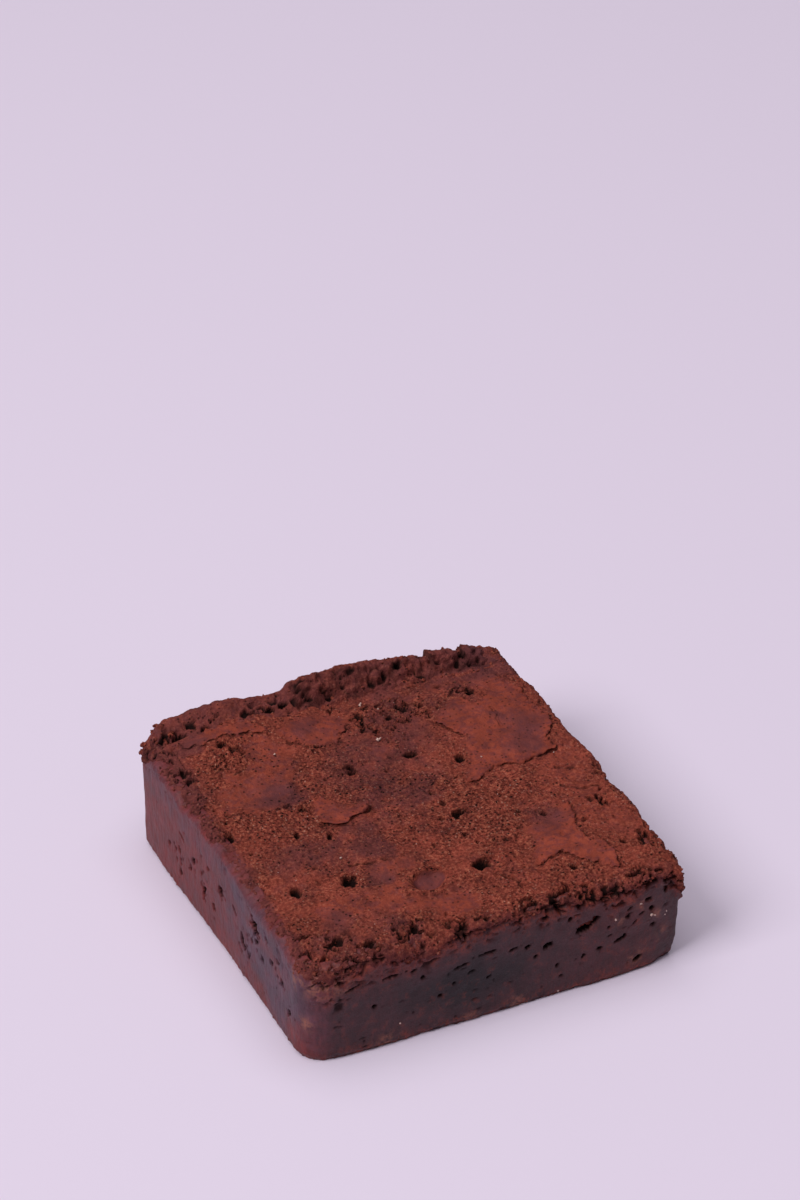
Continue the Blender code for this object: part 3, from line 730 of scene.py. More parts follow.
def makeSkin(name, skin):
    # The ragged outline and an even scatter of points inside it, joined into triangles: lifted over the
    # crust's long swells, curling up where the edge is free and dipping into the crust where it isn't, with
    # a copy below
    corners = np.array(skin["outline"] + skin["outline"][:1])
    length = walked(corners)
    edge = resampled(corners, length, np.linspace(0, length[-1], int(length[-1] / skinSheet["edge"]))[:-1])
    edge = sum(np.roll(edge, k, axis=0) for k in range(-3, 4)) / 7
    out = edge - np.roll(edge, 1, axis=0)
    out = joined(-out[:, 1], out[:, 0])
    out /= np.linalg.norm(out, axis=1, keepdims=True)
    edge = edge + out * skin["ragged"] * raggedness(joined(*edge.T, 0))[:, None]
    low, high = edge.min(axis=0), edge.max(axis=0)
    gx, gy = np.meshgrid(np.arange(low[0], high[0], skinSheet["columns"]),
                         np.arange(low[1], high[1], skinSheet["rows"]))
    gx[1::2] += skinSheet["columns"] / 2
    inside = fromOutline(gx, gy, edge)[0] > skinSheet["clear"]
    plan = np.concatenate([edge, joined(gx[inside], gy[inside])])
    around = list(range(len(edge)))
    found, _, triangles, *_ = delaunay_2d_cdt([Vector(q) for q in plan.tolist()], [], [around], 1, 1e-5)
    plan = np.array([tuple(q) for q in found])
    triangles = np.array(triangles)
    x, y = plan[:, 0], plan[:, 1]
    fromEdge, facing = fromOutline(x, y, edge)
    fromEdge = np.maximum(fromEdge, 0)
    flat = joined(x, y, 0)
    free = freedom(flat, facing, skin)
    z = crustHeight(x, y) + broadRelief(x, y)
    z = z + skin["lift"] * (0.45 + 0.55 * ease(-0.3, 0.5, waves(flat, 5.0, 221)))
    z = z + skin["curl"] * free * ease(1.8, 0, fromEdge)
    z = z - (0.5 + skin["lift"]) * (1 - free) * ease(1.6, 0, fromEdge)
    if name == "skinCurled":
        z = z + 0.9 * bump(np.hypot(x + 8.4, y - 0.4), 1.7)
    z = z + 0.07 * layers(flat, 1.6, 223, 3)
    deep = pitDepth(x, y, pits, layers(flat, 1.3, 81, 3))
    crack = crackedness(x + 0.35 * waves(flat, 1.3, 83), y, 0.24)
    z = z - deep - 0.4 * crack
    thick = skinSheet["thin"] + skinSheet["thicker"] * ease(0.2, 2.0, fromEdge)
    sides = np.concatenate([triangles[:, [0, 1]], triangles[:, [1, 2]], triangles[:, [2, 0]]])
    _, first, count = np.unique(np.sort(sides, axis=1), axis=0, return_index=True, return_counts=True)
    rim = sides[first[count == 1]]
    total = len(plan)
    wall = np.stack([rim[:, 1], rim[:, 0], rim[:, 0] + total, rim[:, 1] + total], -1)
    points = np.concatenate([joined(x, y, z), joined(x, y, z - thick)])
    # Painted shade in the skin's pits and cracks
    hollow = held(ease(0.3, 1.1, deep) + 0.9 * crack)
    marks = {"skin": 0.8 + 0 * x, "hollow": hollow, "violet": violetness(x, y), "grain": 0.35 + 0 * x}
    marks = {mark: np.tile(values, 2) for mark, values in marks.items()}
    putMesh(name, points, [triangles, wall, triangles[:, ::-1] + total], bakedCrust, marks)


for skinName, skinShape in skins.items():
    if skinShape["lift"]:
        makeSkin(skinName, skinShape)
print("crust and skins made")


edgeBand = {
    "inward": 5.4, "downward": 8.0, "step": 0.22, "stations": 1570,
    # where it stops at the back, and how many points it runs on past there
    "back": 38.5, "overlap": 12,
}
crustLine = {
    # how far past the start of the lip's curve the crust reaches, on each side; how much that wanders
    "front": 3.3, "left": 1.5, "right": 3.4, "back": 3.0, "wander": 1.1,
    # x, y, reach, extra
    "places": ((-38, -41, 7, 0.8), (-18, -42, 8, 0.8), (-41, 40, 5, 2.0), (40.5, -41.5, 2.8, 4.4)),
    # x, y, reach: where crust and cut meet without a step
    "flush": ((-39, -39, 9), (-29, -42.5, 9), (-18, -42.5, 7)),
}


def flushness(px, py, nx):
    # 1 where crust and cut meet without a step: in the named places and all along the smooth left side
    return np.maximum(patches(px, py, crustLine["flush"]), 0.9 * held(-nx) ** 2)


def crustEnd(station, nx, ny):
    # Distance past the start of the lip's curve at which crust gives way to cut crumb, for each station
    end = 0 * nx
    for side, part in (("front", -ny), ("left", -nx), ("right", nx), ("back", ny)):
        end = end + held(part) ** 2 * crustLine[side]
    for px, py, reach, extra in crustLine["places"]:
        end = end + extra * bump(np.hypot(station[..., 0] - px, station[..., 1] - py), reach)
    wander = 0.8 * layers(station, 6.0, 301) + 0.45 * layers(station, 1.5, 303)
    return end + (crustLine["wander"] + 0.5 * held(-nx)) * wander


def crevices(base, past, nx, ny, flush):
    # Gaps just under the crust's broken edge, sunk into the surface and painted with shade, on the cut sides
    # other than the smooth left one
    there = held(held(-ny) + 0.45 * held(nx)) * (1 - flush)
    there = there * (0.45 + 0.55 * ease(-5, 5, base[..., 0]))
    return there * ease(0.0, 0.35, layers(base * (1, 1, 0.4), 2.6, 361)) * bump(past - 0.2, 0.6)


def lipCrumb(base, calm):
    # Torn crumb that the crust's edge and the cut under it share, so that they can meet without a step
    torn, lumps = tornCrumb(base * (0.7, 0.7, 1.25), 2.3, 311)
    torn = torn * ease(-0.45, 0.3, layers(base, 5.0, 321)) * (1 - 0.45 * calm)
    return torn, (0.32 * lumps + 0.16 * layers(base, 2.0, 331, 3)) * (1 - 0.4 * calm) - torn


def cornerHeap(base):
    # Crumb piled up at the back left corner, which the crust's edge and the rim share
    nodule, _ = nearest(base, 1.7, 471)
    heap = bump(np.hypot(base[..., 0] + 38.4, base[..., 1] - 38.4), 3.8)
    return heap * (1.1 + 1.8 * (0.5 - nodule))


def makeCrustEdge():
    # A strip that follows the outline over the upper edge: its inner side continues the lid, and its outer
    # side is broken into chunks and dips under the cut crumb along an uneven line
    ring = outline(edgeBand["stations"])
    ring = np.roll(ring, -np.argmax((ring[:, 1] < edgeBand["back"]) & (ring[:, 0] < 0)), axis=0)
    ring = ring[:int((ring[:, 1] < edgeBand["back"]).sum()) + edgeBand["overlap"]]
    profile = lipProfile(edgeBand["inward"], edgeBand["downward"], edgeBand["step"])
    insets, drops, outward, upward, distance = profile
    px, py, nx, ny = ring.T[..., None]
    x, y = px - nx * insets, py - ny * insets
    z = crustHeight(x, y) - drops
    base = joined(x, y, z)
    station = joined(px + 0 * z, py, 0)
    past = distance - (edgeBand["inward"] - block["lipRadius"]) - crustEnd(station, nx, ny)
    height, marks = crustRelief(x, y, z)
    height, _ = underSkins(x, y, height, marks)
    flush = flushness(px, py, nx)
    own = 1 - flush * ease(-1.1, 0.4, past)
    height = own * (height + broadRelief(x, y) * upward)
    outer = ease(3.2, 1.6, insets)
    left = held(-nx) ** 2
    torn, crumbHeight = lipCrumb(base, left + 0.8 * held(nx) ** 2)
    porous = 1.3 * bubbles(base, 1.7, 341, 0.42, 0.75) + 0.9 * bubbles(base, 0.95, 343, 0.4, 0.7)
    porous = porous * left * bump(past + 0.9, 2.4) * ease(4.0, 3.0, insets)
    height = height + outer * (crumbHeight + 0.12 * (1 - left) * (1 - flush)) - porous
    height = height + cornerHeap(base) * ease(0.8, -0.8, past) * ease(4.6, 2.6, insets)
    gap = crevices(base, past, nx, ny, flush)
    height = height - 0.9 * gap - (1.2 - flush) * ease(-0.9, 1.3, past)
    height = height - 1.1 * flush * ease(0.6, 2.4, past)
    height = height - 0.8 * ease(0.5, 0.1, distance) - 0.04 + 0.07 * ease(4.75, 4.45, insets)
    x, y, z = x + nx * outward * height, y + ny * outward * height, z + upward * height
    # Painted shade in the torn crumb, the gaps under the edge and the pores
    hollow = marks["hollow"] * own + 0.85 * outer * ease(0.25, 0.95, torn)
    marks["hollow"] = held(hollow + 0.75 * gap + ease(0.2, 0.6, porous))
    marks["skin"] = marks["skin"] * (1 - outer)
    darker = (0.5 + 0.5 * left) * ease(-2.8, -0.5, past) * ease(4.4, 2.8, insets)
    marks["violet"] = held(marks["violet"] + darker)
    points = joined(x, y, z)
    putClosed("crustEdge", points, bakedCrust, marks)
    return points, marks["hollow"]


edgePoints, edgeHollow = makeCrustEdge()


cutSides = {
    "stations": 980, "inward": 3.4, "downward": 30.0, "step": 0.265, "height": 21.0, "highest": 24.6,
    # how far the unseen wall at the back stands in, and how closely its points and the right side's stand
    "backInset": 1.2, "backCrowd": 0.35, "rightCrowd": 0.6,
    # the closing faces: the base's size, the upper one's size and its height
    "floor": 0.97, "ceiling": 0.93, "ceilingHeight": 12.0,
}
frontHoles = (
    # x, height, width, tall, tilt in degrees, depth
    (18.4, 15.0, 3.4, 2.7, 10, 2.2), (20.6, 16.0, 2.6, 1.5, 35, 1.6), (-33.7, 12.4, 3.4, 2.6, 30, 0.3),
    (-3.0, 15.4, 4.4, 0.6, 3, 0.9), (26.3, 9.6, 3.0, 1.0, 22, 1.2), (10.4, 12.9, 2.2, 1.3, 15, 1.5),
    (15.2, 17.9, 1.2, 1.0, 60, 1.0), (-19.1, 19.6, 2.6, 2.0, 20, 1.8), (36.4, 18.1, 1.2, 1.4, 0, 1.2),
    (30.5, 3.4, 2.4, 1.3, 20, 1.2), (-8.1, 14.2, 3.4, 0.6, 14, 0.9), (18.4, 7.9, 1.2, 0.8, 40, 0.9),
    (-18.2, 16.2, 1.2, 0.6, 20, 0.8), (-22.6, 16.4, 3.6, 0.6, 4, 0.9), (-31.0, 16.0, 3.2, 0.6, 18, 0.8),
    (3.2, 14.6, 3.0, 0.5, 8, 0.7), (23.6, 13.4, 1.0, 0.6, 0, 0.7), (29.2, 12.6, 2.0, 0.5, 35, 0.7),
    (-12.6, 8.6, 1.2, 0.7, 0, 0.6), (6.2, 14.0, 1.3, 0.8, 10, 0.9), (-2.2, 9.6, 1.2, 0.5, 20, 0.6),
    (13.6, 4.6, 1.0, 0.7, 0, 0.5), (28.3, 16.2, 1.8, 0.5, 30, 0.7), (24.0, 11.2, 1.2, 0.4, 10, 0.5),
    (31.0, 14.4, 1.4, 0.5, 20, 0.6), (-16.2, 14.2, 1.0, 0.8, 0, 0.9), (-5.6, 12.1, 1.2, 0.5, 10, 0.7),
    (32.4, 17.2, 1.5, 1.0, 0, 0.9), (33.2, 14.8, 1.2, 1.1, 0, 0.9), (27.8, 14.6, 1.3, 0.9, 0, 0.8),
    (33.8, 10.6, 1.1, 0.9, 0, 0.7), (21.8, 8.8, 1.2, 0.9, 0, 0.8), (8.0, 11.2, 1.0, 0.8, 0, 0.7),
    (12.6, 7.4, 1.1, 0.8, 0, 0.7), (-26.4, 10.4, 1.2, 0.9, 0, 0.6), (-9.6, 10.4, 1.1, 0.8, 0, 0.6),
)
leftHoles = (
    # y, height, width, tall, tilt in degrees, depth
    (-18.0, 17.5, 3.2, 3.0, 40, 2.4), (-1.0, 14.4, 2.4, 2.6, 50, 1.8), (7.4, 8.4, 1.6, 3.8, 10, 1.5),
    (-28.7, 16.5, 2.0, 1.3, 0, 1.3), (-30.8, 12.9, 2.0, 1.7, 0, 1.4), (19.4, 11.3, 2.0, 1.1, 60, 0.9),
    (17.8, 15.3, 1.8, 0.8, 20, 0.9), (19.1, 5.8, 1.2, 2.2, 10, 1.0), (-7.8, 14.4, 2.4, 0.9, 40, 1.1),
    (3.0, 7.9, 1.3, 1.5, 0, 1.0), (-23.7, 18.0, 2.0, 1.1, 30, 1.1), (-11.4, 9.8, 3.4, 1.6, 70, 0.8),
    (-14.4, 8.2, 2.6, 1.2, 60, 0.8), (5.0, 15.8, 1.4, 0.9, 0, 1.0), (12.4, 13.0, 1.3, 2.2, 20, 1.0),
    (14.0, 10.2, 1.2, 2.0, 10, 0.9), (-21.5, 12.0, 1.6, 1.1, 0, 1.0), (-26.0, 14.2, 1.4, 1.2, 0, 1.0),
    (24.8, 9.4, 1.3, 1.3, 0, 0.9), (-34.0, 8.2, 1.4, 1.3, 0, 1.0),
)
fineHoles = ((-12.4, 9.4, 3.2), (-18.0, 13.0, 2.6), (-29.0, 12.0, 3.4), (9.0, 12.0, 3.0), (20.0, 10.0, 3.0))
rubbed = (
    # x, y, height, reach: dry pale crumb
    (-37.0, -40.4, 17.6, 2.6), (-32.6, -41.8, 17.6, 1.6), (-41.0, -37.5, 18.6, 2.0),
    (-39.5, -39.5, 8.8, 1.4), (31.0, -42.0, 16.5, 1.2), (34.5, -42.0, 13.0, 1.4), (26.0, -42.0, 14.2, 1.2),
    (30.0, -42.0, 4.0, 1.6), (36.0, -41.5, 8.0, 1.4), (4.0, -42.0, 1.2, 1.8), (-24.0, -42.0, 1.0, 2.2),
    (-6.0, -42.0, 0.8, 1.6),
)


def cutCrowd(nx, ny):
    # How closely the cut sides' points stand: fewer at the back and on the right, which are hardly seen
    return np.where(ny > 0.5, cutSides["backCrowd"], np.where(nx > 0.5, cutSides["rightCrowd"], 1.0))


def makeCutSides():
    # The outline's lip and side down to the base, closed by flat faces above and below. It stands back
    # under the crust, bubbles and level tears open in the front, and fine streaks run up and down the left
    ring = outline(cutSides["stations"], cutCrowd)
    profile = lipProfile(cutSides["inward"], cutSides["downward"], cutSides["step"])
    keep = profile[1] < lipDrop + cutSides["height"]
    insets, drops, outward, upward, distance = (values[keep] for values in profile)
    px, py, nx, ny = ring.T[..., None]
    x, y = px - nx * insets, py - ny * insets
    edgeTop = np.minimum(crustHeight(px, py), cutSides["highest"]) - lipDrop
    down = held((drops - lipDrop) / cutSides["height"])
    top = np.minimum(crustHeight(x, y), cutSides["highest"])
    z = np.where(down > 0, edgeTop * (1 - down), top - drops)
    base = joined(x, y, z)
    front, left, right, back = (held(side) + 0 * z for side in (-ny, -nx, nx, ny))
    station = joined(px + 0 * z, py, 0)
    past = distance - (cutSides["inward"] - block["lipRadius"]) - crustEnd(station, nx, ny)
    flush = flushness(px, py, nx) + 0 * z
    reach = 4.0 + 4.5 * bump(np.hypot(px + 38, py + 42), 16.0)
    crumbly = ease(reach, 0.5, past + 1.6 * layers(base, 4.0, 601)) * (1 - 0.5 * left)
    torn, crumbHeight = lipCrumb(base, left + 0.8 * right ** 2)
    height = 0.20 * layers(base, 8.0, 501) + 0.12 * layers(base, 2.4, 511, 3)
    height = height * (1 - flush * ease(2.5, 0.0, past)) * (1 - 0.5 * left)
    height = height + 0.04 * waves(base * (2.0, 2.0, 0.25), 0.9, 531) * (left + right)
    height = height + crumbly * crumbHeight
    tears = bubbles(base * (0.33, 0.33, 1.7), 0.95, 541, 0.16, 0.34) * ease(0.15, 0.7, front + right)
    pores = bubbles(base, 1.4, 551, 0.16, 0.38) + bubbles(base, 4.0, 561, 0.07, 0.8)
    wobble = layers(base, 1.0, 571)
    deep = pitDepth(px, z, frontHoles, 1.7 * wobble) * (front > 0.7)
    deep = deep + pitDepth(py, z, leftHoles, 2.2 * wobble) * (left > 0.7)
    small = bubbles(base * (1, 0.9, 0.7), 1.3, 661, 0.75, 0.62)
    deep = deep + 1.3 * small * patches(py, z, fineHoles) * (left > 0.7)
    openings = (tears + pores) * ease(0, 1.2, z) * (0.5 + 0.5 * ease(0.3, 0.0, left))
    bottom = ease(3.0, 0.0, z + 1.2 * layers(base, 4.0, 581))
    gap = crevices(base, past, nx, ny, flush)
    nearRight = bump(np.hypot(px - 41, py + 42), 6.0)
    nearLeft = bump(np.hypot(px + 40, py + 42), 9.0)
    height = height + 0.22 * bottom * layers(base, 1.2, 591) - openings - deep - 0.5 * ease(1.4, 0, z)
    height = height - nearRight * (ease(0.5, 2.5, past) + 1.3 * ease(6.0, 0.0, z))
    height = height - cutSides["backInset"] * ease(0.3, 0.95, back) - 1.1 * gap
    height = height - (0.9 - 0.75 * flush) * ease(0.9, -0.9, past)
    x, y, z = x + nx * outward * height, y + ny * outward * height, z + upward * height
    z = np.where(down >= 1, 0.0, np.maximum(z, 0.02))
    pale = sum(bump(np.linalg.norm(base - middle, axis=-1), reach) for *middle, reach in rubbed)
    near = ease(10, -25, py) + 0 * z
    spots = ease(0.15, 0.5, layers(base, 1.6, 611, 3))
    # Painted shade in the tears, pores, holes, gaps under the crust and torn crumb
    hollow = ease(0.12, 0.4, openings) * 0.95 + ease(0.08, 0.4, deep) + gap
    hollow = hollow + crumbly * ease(0.25, 0.95, torn)
    warm = 0.9 * crumbly * (1 - 0.85 * left) + 0.9 * bottom * (1 - 0.5 * left) * (1 - 0.5 * nearLeft)
    warm = warm + spots * (0.3 + 0.15 * ease(5, 30, px)) * (1 - 0.6 * left)
    dry = left * 0.95 + (0.25 + 0.4 * flush) * crumbly
    dry = dry + (0.15 * right + 0.2 * front * ease(5, 28, px)) * (1 - nearRight)
    moist = bump(px + 6, 20) * bump(z - 9, 8) + 0.3 * layers(base, 9.0, 621)
    # Painted bluish sheen on the near part of the left face and along the rounded top, standing in for a
    # reflection
    sheenPatch = near * ease(-0.2, 0.6, bump(z - 11, 7) - 0.3 + 0.5 * layers(base, 9.0, 631))
    sheenPatch = sheenPatch + (0.5 + 0.4 * near) * bump(past - 2.9, 3.1) + 0.3 * layers(base, 3.0, 651)
    marks = {
        "warm": held(warm), "hollow": held(hollow), "dry": held(dry),
        "core": front * ease(0.3, 0.9, moist), "cool": left * held(sheenPatch),
        "worn": held(pale) * ease(-0.3, 0.2, layers(base, 1.5, 641)),
    }
    points = joined(x, y, z).transpose(1, 0, 2)
    lowRing = points[-1] * (cutSides["floor"], cutSides["floor"], 0)
    highRing = points[0] * (cutSides["ceiling"], cutSides["ceiling"], 0) + (0, 0, cutSides["ceilingHeight"])
    points = np.concatenate([highRing[None], points, lowRing[None]])
    for mark, values in marks.items():
        marks[mark] = np.concatenate([values.T[:1], values.T, values.T[-1:]])
    putClosed("cutCrumb", points, cutCrumb, marks, True)
    return points[1:-1].transpose(1, 0, 2)


sidePoints = makeCutSides()
print("edges and cut sides made")


# The rim that baked against the tin
rim = {
    "inward": 8.2, "downward": 26.0, "step": 0.24, "wallStep": 0.5, "stations": 400, "start": 38.4,
    # radius and drop of the rounding at either end
    "endRadius": 3.0, "endDrop": 2.0,
    # from x, to x, rise at either end: the plates that the crest has broken into
    "plates": ((-38.0, -32.0, 0.8, 0.2), (-19.0, -8.6, -0.3, -1.0), (-8.6, 9.1, 0.2, -0.1),
               (21.6, 24.1, -0.5, -0.6), (24.1, 30.5, 0.9, 0.4), (30.5, 32.1, -0.3, -0.3),
               (32.1, 36.0, 1.0, 0.2)),
    # x, inset, width, tall, tilt in degrees, depth
    "holes": ((9.6, 5.2, 2.6, 1.2, 0, 1.0), (6.1, 3.0, 2.2, 1.2, 0, 0.9), (12.9, 4.4, 1.4, 1.2, 0, 0.9),
              (20.8, 5.4, 2.6, 1.4, 10, 1.0), (29.8, 4.4, 1.5, 1.7, 0, 1.0), (-0.2, 5.4, 2.4, 1.0, 0, 1.0),
              (16.8, 3.0, 1.5, 0.9, 0, 0.8), (25.4, 3.8, 2.2, 0.8, 0, 0.8), (34.4, 4.8, 1.5, 1.1, 0, 0.7),
              (3.2, 4.6, 1.5, 0.8, 0, 0.8), (-4.4, 4.8, 1.8, 1.0, 0, 0.9), (17.6, 5.6, 1.6, 0.8, 0, 0.8)),
}


def makeRim():
    # Slices at right angles to the back, each running up the inner slope, over the crest and down the baked
    # wall. The left part is rounded and smooth over a row of hollows, the rest torn into ledges under
    # broken plates
    ring = outline(1400)
    ring = ring[ring[:, 1] > rim["start"]]
    ring = ring[np.argsort(-ring[:, 0])]
    length = walked(ring)
    ring = resampled(ring, length, np.linspace(0, length[-1], rim["stations"]))
    profile = lipProfile(rim["inward"], rim["downward"], rim["step"])
    coarse = np.arange(len(profile[1])) % int(rim["wallStep"] / rim["step"]) == 0
    keep = (profile[1] < lipDrop + 2) | coarse
    insets, drops, outward, upward, _ = (values[keep] for values in profile)
    wall = held((drops - lipDrop) / rim["downward"])
    px, py, nx, ny = ring.T[..., None]
    px = px - nx * 1.4 * ease(0.8, 0.2, ny)  # the last slices stay inside the cut sides
    x, y = px + 0 * insets, py - insets
    end = np.abs(px + block["middle"][0]) - (block["width"] / 2 - rim["endRadius"])
    end = held(end / rim["endRadius"])
    top = crustHeight(x, y) - np.minimum(drops, lipDrop)
    top = top - rim["endDrop"] * (1 - np.sqrt(held(1 - end ** 2)))
    z = np.where(wall > 0, top * (1 - wall) + 0.1 * wall, top)
    base = joined(x, y, z)
    baked = ease(0.0, 0.12, wall)
    worn = ease(-5.0, -9.0, px + 2.5 * waves(base, 5.0, 403))
    slope = ease(7.0, 5.6, insets) * ease(0.9, 2.6, insets)
    torn, lumps = tornCrumb(base * (0.75, 1, 1), 4.6, 431)
    rough = slope * (1 - worn)
    torn = torn * rough * ease(-0.5, 0.3, layers(base, 6.0, 401))
    deep = pitDepth(px, insets, rim["holes"], 1.4 * layers(base, 1.2, 475))
    level = z / 1.5 + 0.7 * waves(base * (0.4, 1, 1), 3.0, 445)
    ledge = ease(0.0, 0.3, level % 1) - level % 1
    wide = base * (0.8, 1, 1)
    cavity, chance = nearest(wide, 1.9, 441)
    cavity = ease(0.62, 0.38, cavity + 0.25 * waves(base, 0.9, 443)) * (chance < 0.9)
    row = worn * bump(insets - 5.0, 1.5) * cavity * ease(-0.35, 0.1, layers(base, 7.0, 447))
    cobble, _ = nearest(wide + 0.5 * waves(base, 1.7, 449)[..., None], 3.1, 453)
    pores = bubbles(base, 1.5, 421, 0.3, 0.5) * (1 - baked)
    rise = 0 * z
    u = px + 0.5 * waves(base, 1.6, 465)
    for start, stop, first, last in rim["plates"]:
        edge = 0.08 if start > 0 else 1.2
        inside = ease(start - edge, start + edge, u) * ease(stop + edge, stop - edge, u)
        rise = rise + inside * (first + (last - first) * (u - start) / (stop - start))
    crest = ease(5.0, 3.4, insets + 0.8 * waves(base, 2.4, 467)) * (1 - baked)
    height = 0.26 * layers(wide, 4.5, 451, 3) + 0.16 * layers(base, 1.3, 455, 3)
    height = height * (1 - 0.6 * baked)
    height = height + rough * (0.8 * lumps + 0.3 * ledge + (0.5 - cobble) + 0.3 * layers(base, 1.5, 477))
    height = height - 1.2 * torn - 1.4 * row - pores - deep
    height = height + crest * (rise + 0.5 * worn * (0.5 - nearest(base, 2.6, 457)[0]))
    height = height + 0.35 * crest * (1 - worn) * layers(base, 1.3, 459)
    height = height + cornerHeap(base) * (1 - baked)
    sink = 1.8 * ease(rim["inward"] - 1.2, rim["inward"] - 0.1, insets + 0.7 * waves(base, 2.6, 473))
    height = height - sink - 0.5 * ease(0.985, 1.0, wall)
    x, y = x + nx * outward * height, y + ny * outward * height - 0.45 * height * slope
    z = np.maximum(z + upward * height, 0.03)
    # Painted shade from here on: at the plates' steps, between cobbles, in torn crumb, cavities, pores and
    # holes, where the rim sinks under the lid, and under the ledges
    steps = ease(0.1, 0.5, np.abs(np.gradient(rise, axis=0))) * crest
    gaps = 0.55 * rough * ease(0.6, 0.85, cobble)
    hollow = ease(0.25, 0.95, torn) + ease(0.15, 0.6, row) + ease(0.2, 0.5, pores) + gaps
    hollow = hollow + ease(0.2, 0.9, deep) + 0.6 * ease(0.4, 1.5, sink) * ease(-34, -28, px)
    hollow = hollow + 0.5 * steps + 0.35 * rough * ease(0.1, -0.4, ledge)
    # Purple-brown over the rim, partly a darker tone and partly a painted reflection of the lavender
    # surroundings
    violet = held(0.4 + 0.5 * layers(base, 5.0, 481, 3) + 0.6 * rough + 0.35 * worn)
    marks = {
        "hollow": held(hollow), "skin": 0.45 * worn, "grain": 0.5 - 0.1 * rough,
        "violet": violet * (1 + 0.45 * ease(26, 36, px)),
    }
    points = joined(x, y, z)
    inner = points[:, -1] + (0, -3.0, 0.4)
    upper = points[:, 0] + (0, 1.0, -4.0)
    points = np.concatenate([points, inner[:, None], upper[:, None]], axis=1)
    closing = np.ones((len(points), 2))
    marks = {mark: np.concatenate([values, closing], axis=1) for mark, values in marks.items()}
    putClosed("crustRim", points, bakedCrust, marks, True)
    return points[:, :-2]


rimPoints = makeRim()
print("rim made")


# least and most stretch along each axis, and depth of the dents, in parts of a lump's radius
lumpShape = {"stretch": (0.55, 1.25), "dent": 0.3}


def makeBlobs(name, centres, sizes, seed, material, marks):
    # Many small lumps in one mesh: a cube's faces cut in four and pushed onto a ball, then stretched,
    # turned and dented at random
    line = np.linspace(-1, 1, 3)
    cube = np.array([c for c in itertools.product(line, repeat=3) if max(abs(np.array(c))) == 1])
    quads = []
    for axis, sign, a, b in itertools.product(range(3), (-1, 1), (0, 1), (0, 1)):
        corners = []
        for u, v in ((a, b), (a + 1, b), (a + 1, b + 1), (a, b + 1)):
            at = np.zeros(3)
            at[axis], at[(axis + 1) % 3], at[(axis + 2) % 3] = sign, line[u], line[v]
            corners.append(int(np.argmin(np.abs(cube - at).sum(axis=1))))
        quads.append(corners if sign > 0 else corners[::-1])
    ball = cube / np.linalg.norm(cube, axis=1, keepdims=True)
    rng = np.random.default_rng(seed)
    count = len(centres)
    stretch = rng.uniform(*lumpShape["stretch"], (count, 1, 3))
    # three random directions made square to each other turn each lump
    matrix, _ = np.linalg.qr(rng.normal(size=(count, 3, 3)))
    matrix = matrix * np.sign(np.linalg.det(matrix))[:, None, None]
    dent = 1 + rng.uniform(-lumpShape["dent"], lumpShape["dent"], (count, len(ball), 1))
    lumps = np.einsum("nij,nvj->nvi", matrix, ball[None] * stretch * dent)
    lumps = lumps * sizes[:, None, None] + centres[:, None]
    lumps[..., 2] = np.maximum(lumps[..., 2], 0)
    faces = (np.array(quads)[None] + (np.arange(count) * len(ball))[:, None, None]).reshape(-1, 4)
    shade = {mark: np.repeat(values, len(ball)) for mark, values in marks.items()}
    putMesh(name, lumps.reshape(-1, 3), [faces], material, shade)


def pick(points, weights, count, rng):
    # Draws some of the points, each as likely as its weight
    weights = np.clip(weights.ravel(), 0, None)
    chosen = rng.choice(weights.size, count, p=weights / weights.sum(), replace=False)
    return points.reshape(-1, 3)[chosen]


# how many, and the smallest and largest radius
crumbs = {"onTop": (420, 0.12, 0.26), "inRubble": (200, 0.12, 0.45), "onEdge": (160, 0.13, 0.45),
          "onRim": (130, 0.13, 0.4), "atCorner": (60, 0.25, 0.75), "onBase": (26, 0.12, 0.3)}


def makeCrumbs():
    # Crumbs that lie on the bare crust and thicker in its rubble, on the broken edge and rim and at the foot
    rng = np.random.default_rng(7)
    x, y = topPoints[..., 0], topPoints[..., 1]
    bare = (1 - topCover) * (inset(x, y) > 4.6) * (y < 35)
    ex, ey, ez = np.moveaxis(edgePoints, -1, 0)
    rx, ry, rz = np.moveaxis(rimPoints, -1, 0)
    lip = ease(4.0, 2.0, inset(ex, ey)) * ease(0.9, 0.2, edgeHollow) * (ez > 18.5) * (0.15 + (ey < -34))
    foot = (sidePoints[..., 2] < 1.2) * (sidePoints[..., 2] > 0.3) * (sidePoints[..., 1] < 34)
    places = {
        "onTop": (topPoints, topGrain * bare),
        "inRubble": (topPoints, patches(x, y, zones["rubble"]) ** 2 * bare),
        "onEdge": (edgePoints, lip),
        "onRim": (rimPoints, (rz > 22.0) * (0.3 + ease(38.0, 35.5, ry))),
        "atCorner": (rimPoints, bump(np.hypot(rx + 39.8, ry - 39.2), 2.8) * (rz > 19.0)),
        "onBase": (sidePoints, foot),
    }
    centres = np.concatenate([pick(*places[kind], crumbs[kind][0], rng) for kind in crumbs])
    sizes = [low + (high - low) * rng.random(count) ** 1.7 for count, low, high in crumbs.values()]
    total = len(centres)
    marks = {
        "skin": np.zeros(total), "hollow": 0.3 * rng.random(total) ** 3,
        "grain": 0.4 + 0.6 * rng.random(total), "violet": 0.6 * rng.random(total) ** 2,
    }
    makeBlobs("looseCrumbs", centres, np.concatenate(sizes), 11, bakedCrust, marks)


makeCrumbs()


